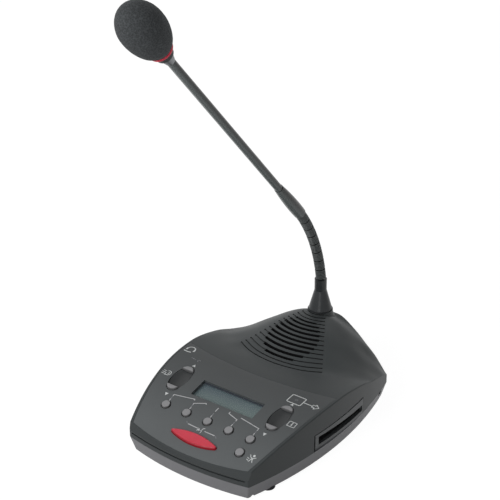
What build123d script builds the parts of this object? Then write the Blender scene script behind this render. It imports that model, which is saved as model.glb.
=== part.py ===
from build123d import *
import os
from math import acos, asin, atan2, cos, degrees, hypot, radians, sin, sqrt

# A conference delegate unit: a wedge-shaped casing with keys, a display, a card slot and a
# loudspeaker hump, and a gooseneck microphone that leans over the front.
# Lengths are in millimetres. X runs to the right, Y to the back and Z up. While it is modelled,
# y = 0 lies on the line through the two front corners. The finished pieces are all moved along Y
# so that the origin is on the table, in the middle of the whole object's length.

# Casing seen from above
front_half_width = 54.7
widest_half_width = 70.0
widest_y = 98.0
rear_half_width = 60.2
side_length = 175.0
front_bow = 6.0
rear_bow = 9.0
corner_radius = 1.5
least_corner_radius = 1.0

# Casing seen from the side
parting_z = 14.5
base_bottom_z = 2.5
top_arc_radius = 193.0
crown_y = 87.0
crown_z = 46.2
rim_radius = 1.0
side_wall = 2.4
top_wall = 2.8
floor_wall = 2.5
base_draft_inset = 2.9
lip_height = 1.6
lip_wall = 1.2
lip_gap = 0.15
front_groove_z = 18.7
front_groove_width = 1.3
front_groove_depth = 1.2
front_groove_end_gap = 3.0
lip_bevel_z = 20.2
lip_bevel_height = 4.8
lip_bevel_inset = 1.8
surface_margin = 6.0
surface_columns = 17
surface_rows = 21
steep_edge_share = 0.75
overrun = 5.0

# Hump that carries the gooseneck and covers the loudspeaker
neck_y = 169.9
neck_seat_z = 62.8
hump_reach_front = 66.0
hump_reach_side = 77.5
hump_front_inner_power = 3.0
hump_side_inner_power = 1.82
hump_front_outer_power = 1.5
hump_side_outer_power = 1.85
rear_drop_share = 0.16
rear_drop_start_y = 150.0
rear_droop = 15.9
rear_droop_start_y = 95.0
rear_droop_side_share = 0.8
neck_boss_radius = 9.9
neck_flare_radius = 17.0
neck_flare_drop = 13.0
neck_flare_sag = 1.3

# Sound slots and grooves, concentric with the neck
groove_count = 14
first_groove_radius = 13.7
groove_pitch = 3.97
groove_width = 1.0
groove_depth = 0.7
groove_side_offset = 5.5
groove_side_angle = 31.5
slot_width = 2.0
first_open_groove = 2
last_open_groove = 11
slot_field_radius = 21.6
slot_field_offset = 38.7

# Control panel let into the casing
panel_thickness = 1.5
panel_gap = 0.15
panel_edge_inset = 2.1
panel_back_y = 83.0
panel_back_bow = 10.2
panel_ledge = 3.2
post_drop = 0.3

# Display
display_y = 48.8
display_width = 56.0
display_height = 17.0
window_rim = 1.2
window_thickness = 1.0
window_recess = 0.5
window_gap = 0.1
frame_wall = 3.0
frame_overlap = 0.3
lcd_gap = 0.1
lcd_glass_thickness = 0.9
lcd_back_thickness = 3.0

# Soft keys and help key
key_row_y = 24.1
key_pitch = 19.35
soft_key_count = 5
help_key_x = 38.1
help_key_y = 12.0
key_radius = 3.35
key_proud = 1.2
key_dome_radius = 0.6
key_flange_radius = 4.9
key_flange_thickness = 1.0
key_stem_radius = 1.5
key_travel = 0.8
key_seat_gap = 0.15
stem_gap = 0.05
key_hole_gap = 0.75

# Talk button
talk_y = 7.7
talk_half_length = 22.6
talk_half_width = 4.6
talk_tip_radius = 1.3
talk_proud = 1.9
talk_dome_radius = 1.1
talk_gap = 0.35
talk_flange_rim = 1.3
talk_flange_thickness = 1.2
talk_travel = 1.0
talk_led_x = 9.0
talk_led_size = 3.0
talk_led_height = 1.9

# Oval key pairs for volume and channel
pair_x = 45.7
pair_y = 50.2
pair_length = 28.0
pair_side_length = 17.0
pair_width = 14.6
pair_end_width = 11.6
pair_corner_radius = 1.6
pair_gap = 0.6
pair_key_length = 4.2
pair_flange_rim = 1.2
pair_key_proud = 1.5
pair_key_dome = 0.9
dish_gap = 0.3
dish_recess = 0.3
dish_depth = 1.6
dish_wing_thickness = 3.0

# Key board with its switches
board_thickness = 1.6
board_front_y = 2.0
board_back_y = 74.0
board_step_y = 14.0
board_half_width = 54.0
board_front_half_width = 46.0
board_pitch_front_y = 5.0
board_pitch_back_y = 62.0
board_depth = 9.5
switch_size = 6.0
switch_body_height = 3.5
switch_button_radius = 1.7
switch_height = 4.9
post_radius = 2.6
post_places = [(50.0, 24.5), (48.5, 69.5)]
small_screw_radius = 1.1
small_screw_length = 5.5
small_head_radius = 2.2
small_head_height = 1.6
screw_gap = 0.05

# Housing screws, bosses and feet
boss_radius = 4.0
housing_screw_radius = 1.5
housing_screw_reach = 9.0
housing_head_radius = 2.8
housing_head_height = 2.2
housing_head_depth = 4.2
head_gap = 0.2
boss_places = [(50.6, 7.5), (52.0, 150.0)]
foot_radius = 5.6
foot_recess = 0.9
foot_gap = 0.1
foot_places = [(53.0, 25.5), (50.5, 163.0)]
foot_edge_radius = 0.6

# Main board, its parts and the ballast plate
main_board_half_width = 42.0
main_board_front_y = 30.0
main_board_back_y = 174.0
main_board_z = 10.0
main_post_places = [(38.0, 35.0), (38.0, 169.0)]
chip_size = 14.0
chip_height = 1.8
chip_places = [(-20.0, 60.0), (-20.0, 90.0), (-22.0, 118.0)]
ballast_half_width = 32.0
ballast_front_y = 24.0
ballast_back_y = 146.0
ballast_thickness = 3.0

# Card slot in the right-hand wall
card_slot_y = 97.3
card_mouth_length = 57.6
mouth_front_low_z = 18.0
mouth_front_high_z = 24.9
mouth_rear_low_z = 17.1
mouth_rear_high_z = 21.9
bezel_front_y = 64.9
bezel_rear_y = 127.4
bezel_top_z = 27.4
bezel_recess = 0.05
bezel_turn = 0.8
bezel_gap = 0.15
channel_front_y = 62.4
channel_front_top_z = 29.1
channel_rear_top_z = 28.6
channel_depth = 1.8
bezel_end_x = 59.0
card_throat_length = 55.2
card_throat_height = 1.6
card_throat_z = 19.5
card_throat_depth = 34.0
reader_gap = 0.1
reader_length = 61.0
reader_depth = 37.0
reader_bottom_z = 16.4
reader_top_z = 26.4
bracket_thickness = 1.0
bracket_flange = 6.0
bracket_width = 14.0
bracket_x = 32.0

# Loudspeaker under the slots
speaker_tilt = 23.5
speaker_plane_depth = 9.5
speaker_radius = 25.0
speaker_flange = 1.4
speaker_flange_width = 2.9
speaker_throat_radius = 22.3
speaker_gap = 0.15
seat_outer_radius = 28.2
basket_neck_radius = 14.0
basket_depth = 10.0
basket_wall = 1.1
magnet_radius = 13.5
magnet_thickness = 7.5
cone_edge_radius = 20.0
cone_neck_radius = 7.0
cone_wall = 0.5
cone_depth = 8.4
cone_edge_gap = 0.1
cone_edge_drop = 0.3
surround_thickness = 0.9
cloth_thickness = 0.5
cloth_gap = 0.1
retainer_thickness = 1.8
retainer_inner_radius = 23.4
speaker_screw_ring = 26.7
speaker_screw_count = 3
speaker_screw_radius = 0.8
speaker_screw_length = 3.0
speaker_head_radius = 1.6
speaker_head_height = 1.2

# Headphone socket in the left-hand wall
jack_y = 84.0
jack_z = 23.0
jack_bore_radius = 1.8
jack_bore_length = 14.0
jack_barrel_radius = 3.2
jack_barrel_gap = 0.1
jack_body_length = 12.0
jack_body_width = 8.0
jack_body_height = 7.0
jack_face_x = 69.2
jack_shelf_thickness = 2.0

# Bus sockets in the rear wall
bus_x = 11.5
bus_width = 16.0
bus_height = 14.4
bus_length = 18.0
bus_gap = 0.15
bus_face_inset = 1.2
bus_mouth_width = 11.8
bus_mouth_height = 8.4
bus_mouth_depth = 13.0
bus_latch_width = 6.2
bus_latch_height = 1.8

# Cable notches beside the rear corners
notch_y = 160.5
notch_length = 6.0
notch_height = 4.0

# Neck collar, gasket and nut
gasket_radius = 8.7
gasket_thickness = 0.7
collar_base_radius = 9.1
collar_top_radius = 4.8
collar_cone_height = 16.3
collar_neck_height = 9.6
collar_edge_radius = 0.5
stud_radius = 4.0
stud_gap = 0.15
stud_length = 10.0
nut_across = 13.0
nut_thickness = 4.0
nut_pocket_radius = 9.0
nut_seat_z = 59.5

# Flexible neck, as a chain of ribbed links
link_count = 8
link_length = 9.35
first_link_angle = 11.0
link_turn = 3.785
rib_radius = 4.05
rib_root_radius = 3.65
rib_count = 6
rib_flank_share = 0.2
rib_crest_share = 0.35
link_foot = 0.45
link_head = 1.42
collar_head = 2.0
ball_radius = 2.5
cup_gap = 0.15
wire_bore_radius = 1.0

# Sleeve, upper tube and microphone head
sleeve_length = 41.0
sleeve_end_radius = 4.6
sleeve_belly_radius = 4.7
sleeve_belly_share = 0.45
sleeve_tip_radius = 3.4
tube_radius = 3.05
tube_bore_radius = 1.9
tube_start = 3.2
head_start = 221.0
head_cone_length = 6.4
head_cone_radius = 5.0
head_cone_insert = 4.0
head_collar_length = 6.85
head_collar_radius = 6.4
head_collar_edge = 2.2
ring_thickness = 1.9
ring_radius = 8.7
ring_edge = 0.6
capsule_radius = 5.0
capsule_length = 30.0
capsule_edge = 0.8
foam_radius = 15.7
foam_foot_radius = 8.2
foam_widest = 23.9
foam_tip = 22.0
foam_bore_gap = 0.3
foam_steps = 4


def arc_height(y):
    """Height of the casing's long top arc at a place along Y."""
    return crown_z - top_arc_radius + sqrt(top_arc_radius ** 2 - (y - crown_y) ** 2)


def arc_tilt(y):
    """Tilt of the top arc in degrees; it is positive where the surface rises to the back."""
    return degrees(asin((crown_y - y) / top_arc_radius))


def hump_height(x, y):
    """Height of the outer top surface: the long arc, drooping at the rear, with the hump on it."""
    distance = hypot(x, y - neck_y)
    side_share = 1.0 if y > neck_y or distance == 0 else (x / distance) ** 2
    reach = hump_reach_front + (hump_reach_side - hump_reach_front) * side_share
    inner_power = hump_front_inner_power + (hump_side_inner_power - hump_front_inner_power) * side_share
    outer_power = hump_front_outer_power + (hump_side_outer_power - hump_front_outer_power) * side_share
    share = min(distance / reach, 1.0)
    rise_share = (1 - share ** inner_power) ** outer_power
    rear_end = side_length + rear_bow
    back_share = max(y - rear_drop_start_y, 0) / (rear_end - rear_drop_start_y)
    rise_share = rise_share * (1 - rear_drop_share * back_share ** 2)
    droop_share = (max(y - rear_droop_start_y, 0) / (rear_end - rear_droop_start_y)) ** 2
    across_share = 1 - rear_droop_side_share + rear_droop_side_share * (x / widest_half_width) ** 2
    base = arc_height(y) - rear_droop * droop_share * across_share
    return base + (neck_seat_z - base) * rise_share


def plan_face(inset):
    """The casing's outline from above, moved inwards by the inset."""
    front = front_half_width - inset
    wide = widest_half_width - inset
    rear = rear_half_width - inset
    first_y = inset
    last_y = side_length - inset
    lines = [
        ThreePointArc((-front, first_y), (0, inset - front_bow), (front, first_y)),
        ThreePointArc((front, first_y), (wide, widest_y), (rear, last_y)),
        ThreePointArc((rear, last_y), (0, last_y + rear_bow), (-rear, last_y)),
        ThreePointArc((-rear, last_y), (-wide, widest_y), (-front, first_y)),
    ]
    face = make_face(lines)
    radius = max(corner_radius - inset, least_corner_radius)
    return fillet(face.vertices(), radius)


def plan_prism(inset, low, high):
    return extrude(Pos(0, 0, low) * plan_face(inset), high - low)


def top_face(drop):
    """The smooth top surface, a given distance below the outer one."""
    half = widest_half_width + surface_margin
    front = -front_bow - surface_margin
    back = side_length + rear_bow + surface_margin
    rows = []
    for row in range(surface_rows):
        y = front + (back - front) * row / (surface_rows - 1)
        line = []
        for column in range(surface_columns):
            x = half * (2 * column / (surface_columns - 1) - 1)
            line.append(Vector(x, y, hump_height(x, y) - drop))
        rows.append(line)
    return Face.make_surface_from_array_of_points(rows)


def below_top(drop):
    """Everything below the top surface, down past the table."""
    depth = neck_seat_z + surface_margin
    return Solid.extrude(top_face(drop), Vector(0, 0, -depth))


def cylinder_at(radius, low, high):
    return Pos(0, 0, low) * Cylinder(radius, high - low, align=(Align.CENTER, Align.CENTER, Align.MIN))


def box_between(x0, x1, y0, y1, z0, z1):
    size = Box(x1 - x0, y1 - y0, z1 - z0, align=(Align.MIN, Align.MIN, Align.MIN))
    return Pos(x0, y0, z0) * size


def mirrored_places(places):
    return [(side * x, y) for x, y in places for side in (1, -1)]


def on_panel(x, y):
    """A frame on the panel's surface: Z is the surface's normal and Y runs up the panel."""
    return Location((x, y, arc_height(y)), (arc_tilt(y), 0, 0))


def turned_shape(points, bore=0):
    """A shape turned about Z from (radius, height) points that start and end on the axis."""
    profile = make_face(Polyline([(r, 0, z) for r, z in points], close=True))
    shape = revolve(profile, Axis.Z)
    if bore:
        low = min(z for r, z in points)
        high = max(z for r, z in points)
        shape = shape - cylinder_at(bore, low - overrun, high + overrun)
    return shape


def ring_sector(radius, width, half_angle):
    """A curved slot outline about the neck, open by an angle each side of the front direction."""
    inner = radius - width / 2
    outer = radius + width / 2
    side = sin(radians(half_angle))
    front = cos(radians(half_angle))
    lines = [
        ThreePointArc((-outer * side, -outer * front), (0, -outer), (outer * side, -outer * front)),
        Line((outer * side, -outer * front), (inner * side, -inner * front)),
        ThreePointArc((inner * side, -inner * front), (0, -inner), (-inner * side, -inner * front)),
        Line((-inner * side, -inner * front), (-outer * side, -outer * front)),
    ]
    return Pos(0, neck_y, 0) * make_face(lines)


def groove_radius(index):
    return first_groove_radius + groove_pitch * index


def groove_half_angle(radius):
    """How far a groove reaches each side, up to a straight line that leans outwards."""
    shift = groove_side_offset * cos(radians(groove_side_angle))
    return groove_side_angle + degrees(asin(shift / radius))


def panel_outline(inset):
    """The control panel's outline from above: the casing's outline, cut off by a curved back edge."""
    half = widest_half_width + surface_margin
    middle_y = panel_back_y - inset
    end_y = middle_y + panel_back_bow
    far = end_y + overrun
    back_edge = ThreePointArc((-half, end_y), (0, middle_y), (half, end_y))
    behind = [back_edge, Line((half, end_y), (half, far)), Line((half, far), (-half, far)),
              Line((-half, far), (-half, end_y))]
    beyond = Pos(0, far) * Rectangle(2 * half, side_length, align=(Align.CENTER, Align.MIN))
    return plan_face(panel_edge_inset + inset) - make_face(behind) - beyond


def panel_prism(inset):
    return extrude(panel_outline(inset), crown_z + overrun)


def above_arc(drop):
    """A round bar along X whose upper side is the casing's top arc, lowered by a given distance."""
    length = 2 * (widest_half_width + surface_margin)
    bar = Rot(0, 90, 0) * Cylinder(top_arc_radius - drop, length)
    return Pos(0, crown_y, crown_z - top_arc_radius) * bar


# The keys, their switches and their board all share one slope
board_rise = arc_height(board_pitch_back_y) - arc_height(board_pitch_front_y)
board_run = board_pitch_back_y - board_pitch_front_y
board_tilt = degrees(atan2(board_rise, board_run))
key_normal = Vector(0, -sin(radians(board_tilt)), cos(radians(board_tilt)))
board_top = Vector(0, board_pitch_front_y, arc_height(board_pitch_front_y)) - key_normal * board_depth


def key_frame(x, y):
    """A frame on the panel's surface whose Z is the way that the keys move out."""
    return Location((x, y, arc_height(y)), (board_tilt, 0, 0))


def board_drop(y):
    """How far the key board lies under the panel's surface, measured along the keys' way."""
    return (Vector(0, y, arc_height(y)) - board_top).dot(key_normal)


def hole_reach():
    return panel_thickness + overrun


def along_keys(x, y, outline, above, below):
    """An outline pushed along the keys' way, from below the surface to above it."""
    return key_frame(x, y) * extrude(Pos(0, 0, -below) * outline, above + below)


def layer(shape, top_drop, bottom_drop):
    """The part of a shape that lies between two depths under the panel's surface."""
    return (shape & above_arc(top_drop)) - above_arc(bottom_drop)


def top_edges(shape, drop):
    """The edges around the upper end of a key cap."""
    edges = []
    for edge in shape.edges():
        spots = [edge @ share for share in (0, 0.25, 0.5, 0.75, 1)]
        if all(spot.Z > arc_height(spot.Y) - drop for spot in spots):
            edges.append(edge)
    return edges


def pressed_key(x, y, outline, flange_outline, proud, edge, flange_thickness, travel):
    """A key cap with the flange that holds it in and the stem that works its switch."""
    flange_top = panel_thickness + key_seat_gap
    flange_bottom = flange_top + flange_thickness
    cap = layer(along_keys(x, y, outline, overrun, hole_reach()), -proud, flange_bottom)
    cap = fillet(top_edges(cap, -proud / 2), edge)
    flange = layer(along_keys(x, y, flange_outline, overrun, hole_reach()), flange_top, flange_bottom)
    stem_bottom = board_drop(y) - switch_height - travel - stem_gap
    stem_length = stem_bottom - flange_top
    stem = key_frame(x, y) * Pos(0, 0, -stem_bottom) * Cylinder(
        key_stem_radius, stem_length, align=(Align.CENTER, Align.CENTER, Align.MIN))
    stem = stem & above_arc(flange_top)
    return cap + flange + stem


def round_key(x, y):
    return pressed_key(x, y, Circle(key_radius), Circle(key_flange_radius), key_proud,
                       key_dome_radius, key_flange_thickness, key_travel)


def lens_outline(grow):
    """A pointed oval from two arcs, with rounded tips, grown all round by a distance."""
    arc_radius = (talk_half_length ** 2 + talk_half_width ** 2) / (2 * talk_half_width)
    half_width = talk_half_width + grow
    half_length = sqrt((arc_radius + grow) ** 2 - (arc_radius - talk_half_width) ** 2)
    upper = ThreePointArc((-half_length, 0), (0, half_width), (half_length, 0))
    lower = ThreePointArc((half_length, 0), (0, -half_width), (-half_length, 0))
    face = make_face([upper, lower])
    return fillet(face.vertices(), talk_tip_radius + grow)


def talk_button():
    return pressed_key(0, talk_y, lens_outline(0), lens_outline(talk_flange_rim), talk_proud,
                       talk_dome_radius, talk_flange_thickness, talk_travel)


def oval_outline(grow):
    """The full oval that a pair of keys and the dish between them fill, grown by a distance."""
    end = pair_end_width / 2 + grow
    wide = pair_width / 2 + grow
    side = pair_side_length / 2 + grow
    tip = pair_length / 2 + grow
    lines = [
        ThreePointArc((end, -side), (wide, 0), (end, side)),
        ThreePointArc((end, side), (0, tip), (-end, side)),
        ThreePointArc((-end, side), (-wide, 0), (-end, -side)),
        ThreePointArc((-end, -side), (0, -tip), (end, -side)),
    ]
    face = make_face(lines)
    return fillet(face.vertices(), pair_corner_radius + grow)


def oval_end(grow, side):
    """One end of the oval: a D shape as long as the key."""
    far = pair_length / 2 + pair_flange_rim
    near = pair_length / 2 - pair_gap - pair_key_length
    box = Pos(0, side * (near + far) / 2) * Rectangle(pair_width + 2 * pair_flange_rim, far - near)
    return oval_outline(grow) & box


def pair_key_y(side):
    """Where the middle of a D-shaped key lies along Y."""
    middle = pair_length / 2 - pair_gap - pair_key_length / 2
    return pair_y + side * middle * cos(radians(board_tilt))


def pair_key(x, side):
    """A D-shaped key. Its outline hangs on the oval's middle, its stem on its own."""
    flange_top = panel_thickness + key_seat_gap
    flange_bottom = flange_top + key_flange_thickness
    cap = along_keys(x, pair_y, oval_end(-pair_gap, side), overrun, hole_reach())
    cap = layer(cap, -pair_key_proud, flange_bottom)
    cap = fillet(top_edges(cap, -pair_key_proud / 2), pair_key_dome)
    flange = along_keys(x, pair_y, oval_end(pair_flange_rim, side), overrun, hole_reach())
    flange = layer(flange, flange_top, flange_bottom)
    y = pair_key_y(side)
    stem_bottom = board_drop(y) - switch_height - key_travel - stem_gap
    stem = key_frame(x, y) * Pos(0, 0, -stem_bottom) * Cylinder(
        key_stem_radius, stem_bottom, align=(Align.CENTER, Align.CENTER, Align.MIN))
    stem = stem & above_arc(flange_top)
    return cap + flange + stem


def dish(x):
    """The hollowed piece between two D-shaped keys, held by wings under the panel."""
    half = pair_length / 2 - pair_gap - pair_key_length - dish_gap
    outline = oval_outline(-dish_gap) & Rectangle(pair_width, 2 * half)
    wings = Rectangle(pair_width + 2 * pair_flange_rim, 2 * half)
    low = panel_thickness + dish_wing_thickness
    body = layer(along_keys(x, pair_y, outline, overrun, hole_reach()), dish_recess, low)
    carrier = layer(along_keys(x, pair_y, wings, overrun, hole_reach()), panel_thickness, low)
    hollow_half = pair_width / 2 - pair_gap
    hollow_radius = (hollow_half ** 2 + dish_depth ** 2) / (2 * dish_depth)
    hollow = key_frame(x, pair_y) * Pos(0, 0, hollow_radius - dish_depth - dish_recess) * (
        Rot(90, 0, 0) * Cylinder(hollow_radius, pair_length))
    return body + carrier - hollow


def mirrored_keys():
    """Places and sizes of all round holes in the panel: soft keys and the help key."""
    return soft_key_places() + [(help_key_x, help_key_y)]


def soft_key_places():
    first = -(soft_key_count - 1) / 2
    return [((first + index) * key_pitch, key_row_y) for index in range(soft_key_count)]


def window_drop():
    return panel_thickness + window_recess


def display_box(margin, top, bottom):
    """A box on the display's middle, between two depths under the panel's surface."""
    width = display_width + 2 * margin
    height = display_height + 2 * margin
    box = Box(width, height, bottom - top, align=(Align.CENTER, Align.CENTER, Align.MAX))
    return on_panel(0, display_y) * Pos(0, 0, -top) * box


def control_panel():
    """The inlay with its holes, the frame round the display and four posts for the board."""
    panel = layer(panel_prism(panel_gap), 0, panel_thickness)
    frame_bottom = lcd_top() + lcd_glass_thickness
    frame = display_box(window_rim + frame_wall, panel_thickness - frame_overlap, frame_bottom)
    panel = panel + frame
    panel = panel - display_box(0, -overrun, window_drop())
    panel = panel - display_box(window_rim + window_gap, window_drop(), frame_bottom + overrun)
    for x, y in mirrored_places(post_places):
        length = board_drop(y)
        post = key_frame(x, y) * Pos(0, 0, -length) * Cylinder(
            post_radius, length, align=(Align.CENTER, Align.CENTER, Align.MIN))
        post = post & above_arc(panel_thickness / 2)
        bore = key_frame(x, y) * Pos(0, 0, -length) * Cylinder(
            small_screw_radius + screw_gap, 2 * (small_screw_length - board_thickness + screw_gap))
        panel = panel + post - bore
    for x, y in mirrored_keys():
        panel = panel - along_keys(x, y, Circle(key_radius + key_hole_gap), overrun, hole_reach())
    panel = panel - along_keys(0, talk_y, lens_outline(talk_gap), overrun, hole_reach())
    for side in (-1, 1):
        panel = panel - along_keys(side * pair_x, pair_y, oval_outline(0), overrun, hole_reach())
    return panel


def display_window():
    return display_box(window_rim, window_drop(), window_drop() + window_thickness)


def lcd_top():
    """The display's own top, a little below the clear window."""
    return window_drop() + window_thickness + lcd_gap


def lcd_glass():
    return display_box(window_rim, lcd_top(), lcd_top() + lcd_glass_thickness)


def lcd_back():
    top = lcd_top() + lcd_glass_thickness
    return display_box(window_rim + frame_wall, top, top + lcd_back_thickness)


def on_board(x, y):
    """A frame on top of the key board, under a place on the panel's surface."""
    return key_frame(x, y) * Pos(0, 0, -board_drop(y))


def key_places():
    places = mirrored_keys() + [(0, talk_y)]
    for side in (-1, 1):
        places += [(side * pair_x, pair_key_y(-1)), (side * pair_x, pair_key_y(1))]
    return places


def key_board():
    slope = cos(radians(board_tilt))
    front = (board_front_y - board_pitch_front_y) / slope
    step = (board_step_y - board_pitch_front_y) / slope
    back = (board_back_y - board_pitch_front_y) / slope
    points = [
        (-board_front_half_width, front), (board_front_half_width, front),
        (board_front_half_width, step), (board_half_width, step), (board_half_width, back),
        (-board_half_width, back), (-board_half_width, step), (-board_front_half_width, step),
    ]
    plate = extrude(make_face(Polyline(points, close=True)), -board_thickness)
    board = Location((0, board_top.Y, board_top.Z), (board_tilt, 0, 0)) * plate
    for x, y in mirrored_places(post_places):
        board = board - on_board(x, y) * Cylinder(small_screw_radius + screw_gap, 4 * board_thickness)
    return board


def key_switches():
    body = Pos(0, 0, switch_body_height / 2) * Box(switch_size, switch_size, switch_body_height)
    switch = body + cylinder_at(switch_button_radius, 0, switch_height)
    return [on_board(x, y) * switch for x, y in key_places()]


def talk_leds():
    led = Pos(0, 0, talk_led_height / 2) * Box(talk_led_size, talk_led_size, talk_led_height)
    return [on_board(side * talk_led_x, talk_y) * led for side in (-1, 1)]


def small_screw():
    """A screw that points up: its head's upper side lies at z = 0."""
    head = cylinder_at(small_head_radius, -small_head_height, 0)
    return head + cylinder_at(small_screw_radius, -small_head_height / 2, small_screw_length)


def board_screws():
    screws = []
    for x, y in mirrored_places(post_places):
        screws.append(on_board(x, y) * Pos(0, 0, -board_thickness) * small_screw())
    return screws


def bezel_outline(margin):
    """The card bezel's outline in the right wall, seen from the side as (y, z)."""
    front = bezel_front_y - margin
    rear = bezel_rear_y + margin
    low = parting_z + bezel_gap - margin
    high = bezel_top_z + margin
    return [(front, low), (rear, low), (rear, high), (front, high)]


def side_prism(points, x0, x1):
    """An outline given as (y, z), pushed along X."""
    face = make_face(Polyline([(0, y, z) for y, z in points], close=True))
    return Pos(x0, 0, 0) * extrude(face, x1 - x0, dir=(1, 0, 0))


def bezel_space():
    """The hole for the bezel, and a shallow channel in the wall in front of it and above it."""
    far = widest_half_width + overrun
    rear = bezel_rear_y + bezel_gap
    channel = [(channel_front_y, parting_z), (rear, parting_z), (rear, channel_rear_top_z),
               (channel_front_y, channel_front_top_z)]
    cut = side_prism(channel, bezel_end_x, far) - plan_prism(channel_depth, 0, channel_front_top_z + overrun)
    return cut + side_prism(bezel_outline(bezel_gap), bezel_end_x - bezel_gap, far)


def card_bezel():
    far = widest_half_width + overrun
    body = side_prism(bezel_outline(0), bezel_end_x, far)
    pivot = Pos(widest_half_width, bezel_rear_y, 0)
    wall_line = pivot * Rot(0, 0, -bezel_turn) * pivot.inverse() * plan_prism(
        bezel_recess, 0, bezel_top_z + overrun)
    body = body & wall_line
    front = card_slot_y - card_mouth_length / 2
    rear = card_slot_y + card_mouth_length / 2
    mouth = [(front, mouth_front_low_z), (rear, mouth_rear_low_z),
             (rear, mouth_rear_high_z), (front, mouth_front_high_z)]
    return body - side_prism(mouth, bezel_end_x - overrun, far + overrun)


def card_reader():
    face_x = bezel_end_x - reader_gap
    body = box_between(face_x - reader_depth, face_x, card_slot_y - reader_length / 2,
                       card_slot_y + reader_length / 2, reader_bottom_z, reader_top_z)
    throat = box_between(face_x - card_throat_depth, face_x + overrun,
                         card_slot_y - card_throat_length / 2, card_slot_y + card_throat_length / 2,
                         card_throat_z, card_throat_z + card_throat_height)
    return body - throat


def main_board_top():
    return main_board_z + board_thickness


def reader_brackets():
    """Two bent sheet brackets that carry the card reader on the main board."""
    brackets = []
    low = main_board_top()
    half = bracket_width / 2
    for side in (-1, 1):
        y = card_slot_y + side * (reader_length / 2 - bracket_flange)
        near = min(y, y + side * bracket_flange)
        far = max(y, y + side * bracket_flange)
        web_near = min(y, y + side * bracket_thickness)
        foot = box_between(bracket_x - half, bracket_x + half, near, far, low, low + bracket_thickness)
        web = box_between(bracket_x - half, bracket_x + half, web_near,
                          web_near + bracket_thickness, low, reader_bottom_z)
        cap = box_between(bracket_x - half, bracket_x + half, near, far,
                          reader_bottom_z - bracket_thickness, reader_bottom_z)
        brackets.append(foot + web + cap)
    return brackets


def lip_bevel():
    """What is cut off the front wall above its groove, so that it leans in to the panel's edge."""
    radius = (front_half_width ** 2 + front_bow ** 2) / (2 * front_bow)
    height = crown_z - lip_bevel_z
    inset = lip_bevel_inset * height / lip_bevel_height
    cone = Cone(radius, radius - inset, height, align=(Align.CENTER, Align.CENTER, Align.MIN))
    block = box_between(-widest_half_width, widest_half_width, -front_bow - overrun, front_bow,
                        lip_bevel_z, crown_z)
    return block - Pos(0, radius - front_bow, lip_bevel_z) * cone


def speaker_frame():
    """A frame on the loudspeaker's front plane. Its Z leans forward, square to the slots."""
    y = neck_y - slot_field_offset
    return Location((0, y, hump_height(0, y) - speaker_plane_depth), (speaker_tilt, 0, 0))


def slot_half_angle(radius):
    """How far an open slot reaches each side, inside a round field of slots."""
    share = (radius ** 2 + slot_field_offset ** 2 - slot_field_radius ** 2) / (
        2 * radius * slot_field_offset)
    return degrees(acos(min(share, 1)))


def speaker_seat():
    """The round collar inside the casing that the loudspeaker is held against."""
    tall = hump_reach_side / 2
    ring = cylinder_at(seat_outer_radius, 0, tall) - cylinder_at(speaker_throat_radius, -overrun, tall + overrun)
    return (speaker_frame() * ring) & below_top(top_wall / 2)


def speaker_screw_places():
    step = 360 / speaker_screw_count
    return [Rot(0, 0, step * index) * Pos(0, -speaker_screw_ring, 0) for index in range(speaker_screw_count)]


def neck_boss():
    """The flared foot of the neck on top of the hump."""
    low = neck_seat_z - neck_flare_drop
    middle_r = (neck_boss_radius + neck_flare_radius) / 2 - neck_flare_sag
    middle_z = neck_seat_z - neck_flare_drop / 2 - neck_flare_sag
    flare = ThreePointArc((neck_flare_radius, low), (middle_r, middle_z), (neck_boss_radius, neck_seat_z))
    lines = [Line((0, parting_z), (neck_flare_radius, parting_z)),
             Line((neck_flare_radius, parting_z), (neck_flare_radius, low)), flare,
             Line((neck_boss_radius, neck_seat_z), (0, neck_seat_z)),
             Line((0, neck_seat_z), (0, parting_z))]
    boss = Pos(0, neck_y, 0) * turned_lines(lines)
    return boss & plan_prism(0, parting_z, neck_seat_z + overrun)


def turned_lines(lines):
    """A shape turned about Z from lines drawn as (radius, height)."""
    return revolve(Plane.XZ * make_face(lines), Axis.Z)


def bus_space(side):
    """The opening that a bus socket fills in the rear wall."""
    low = main_board_top() - bus_gap
    high = main_board_top() + bus_height + bus_gap
    half = bus_width / 2 + bus_gap
    back = side_length + rear_bow + overrun
    return box_between(side * bus_x - half, side * bus_x + half, bus_front_y(), back, low, high)


def bus_face_y():
    return side_length + rear_bow - bus_face_inset


def bus_front_y():
    return bus_face_y() - bus_length


def jack_space():
    """The round hole for the headphone socket in the left wall."""
    barrel = Rot(0, 90, 0) * Cylinder(jack_barrel_radius + jack_barrel_gap, 4 * side_wall)
    return Pos(-widest_half_width, jack_y, jack_z) * barrel


def jack_shelf():
    """A shelf on the left wall that carries the headphone socket's body."""
    inner = jack_face_x - jack_bore_length - overrun / 2
    half = jack_body_width / 2 + jack_shelf_thickness
    top = jack_z - jack_body_height / 2
    shelf = box_between(-widest_half_width, -inner, jack_y - half, jack_y + half,
                        top - jack_shelf_thickness, top)
    return shelf & plan_prism(side_wall / 2, parting_z, crown_z)


def slot_sketches():
    """The open slots and the shallow grooves, as two flat sets of curved outlines."""
    slots = []
    grooves = []
    for index in range(groove_count):
        radius = groove_radius(index)
        grooves.append(ring_sector(radius, groove_width, groove_half_angle(radius)))
        if first_open_groove <= index <= last_open_groove:
            slots.append(ring_sector(radius, slot_width, slot_half_angle(radius)))
    return slots, grooves


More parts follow.
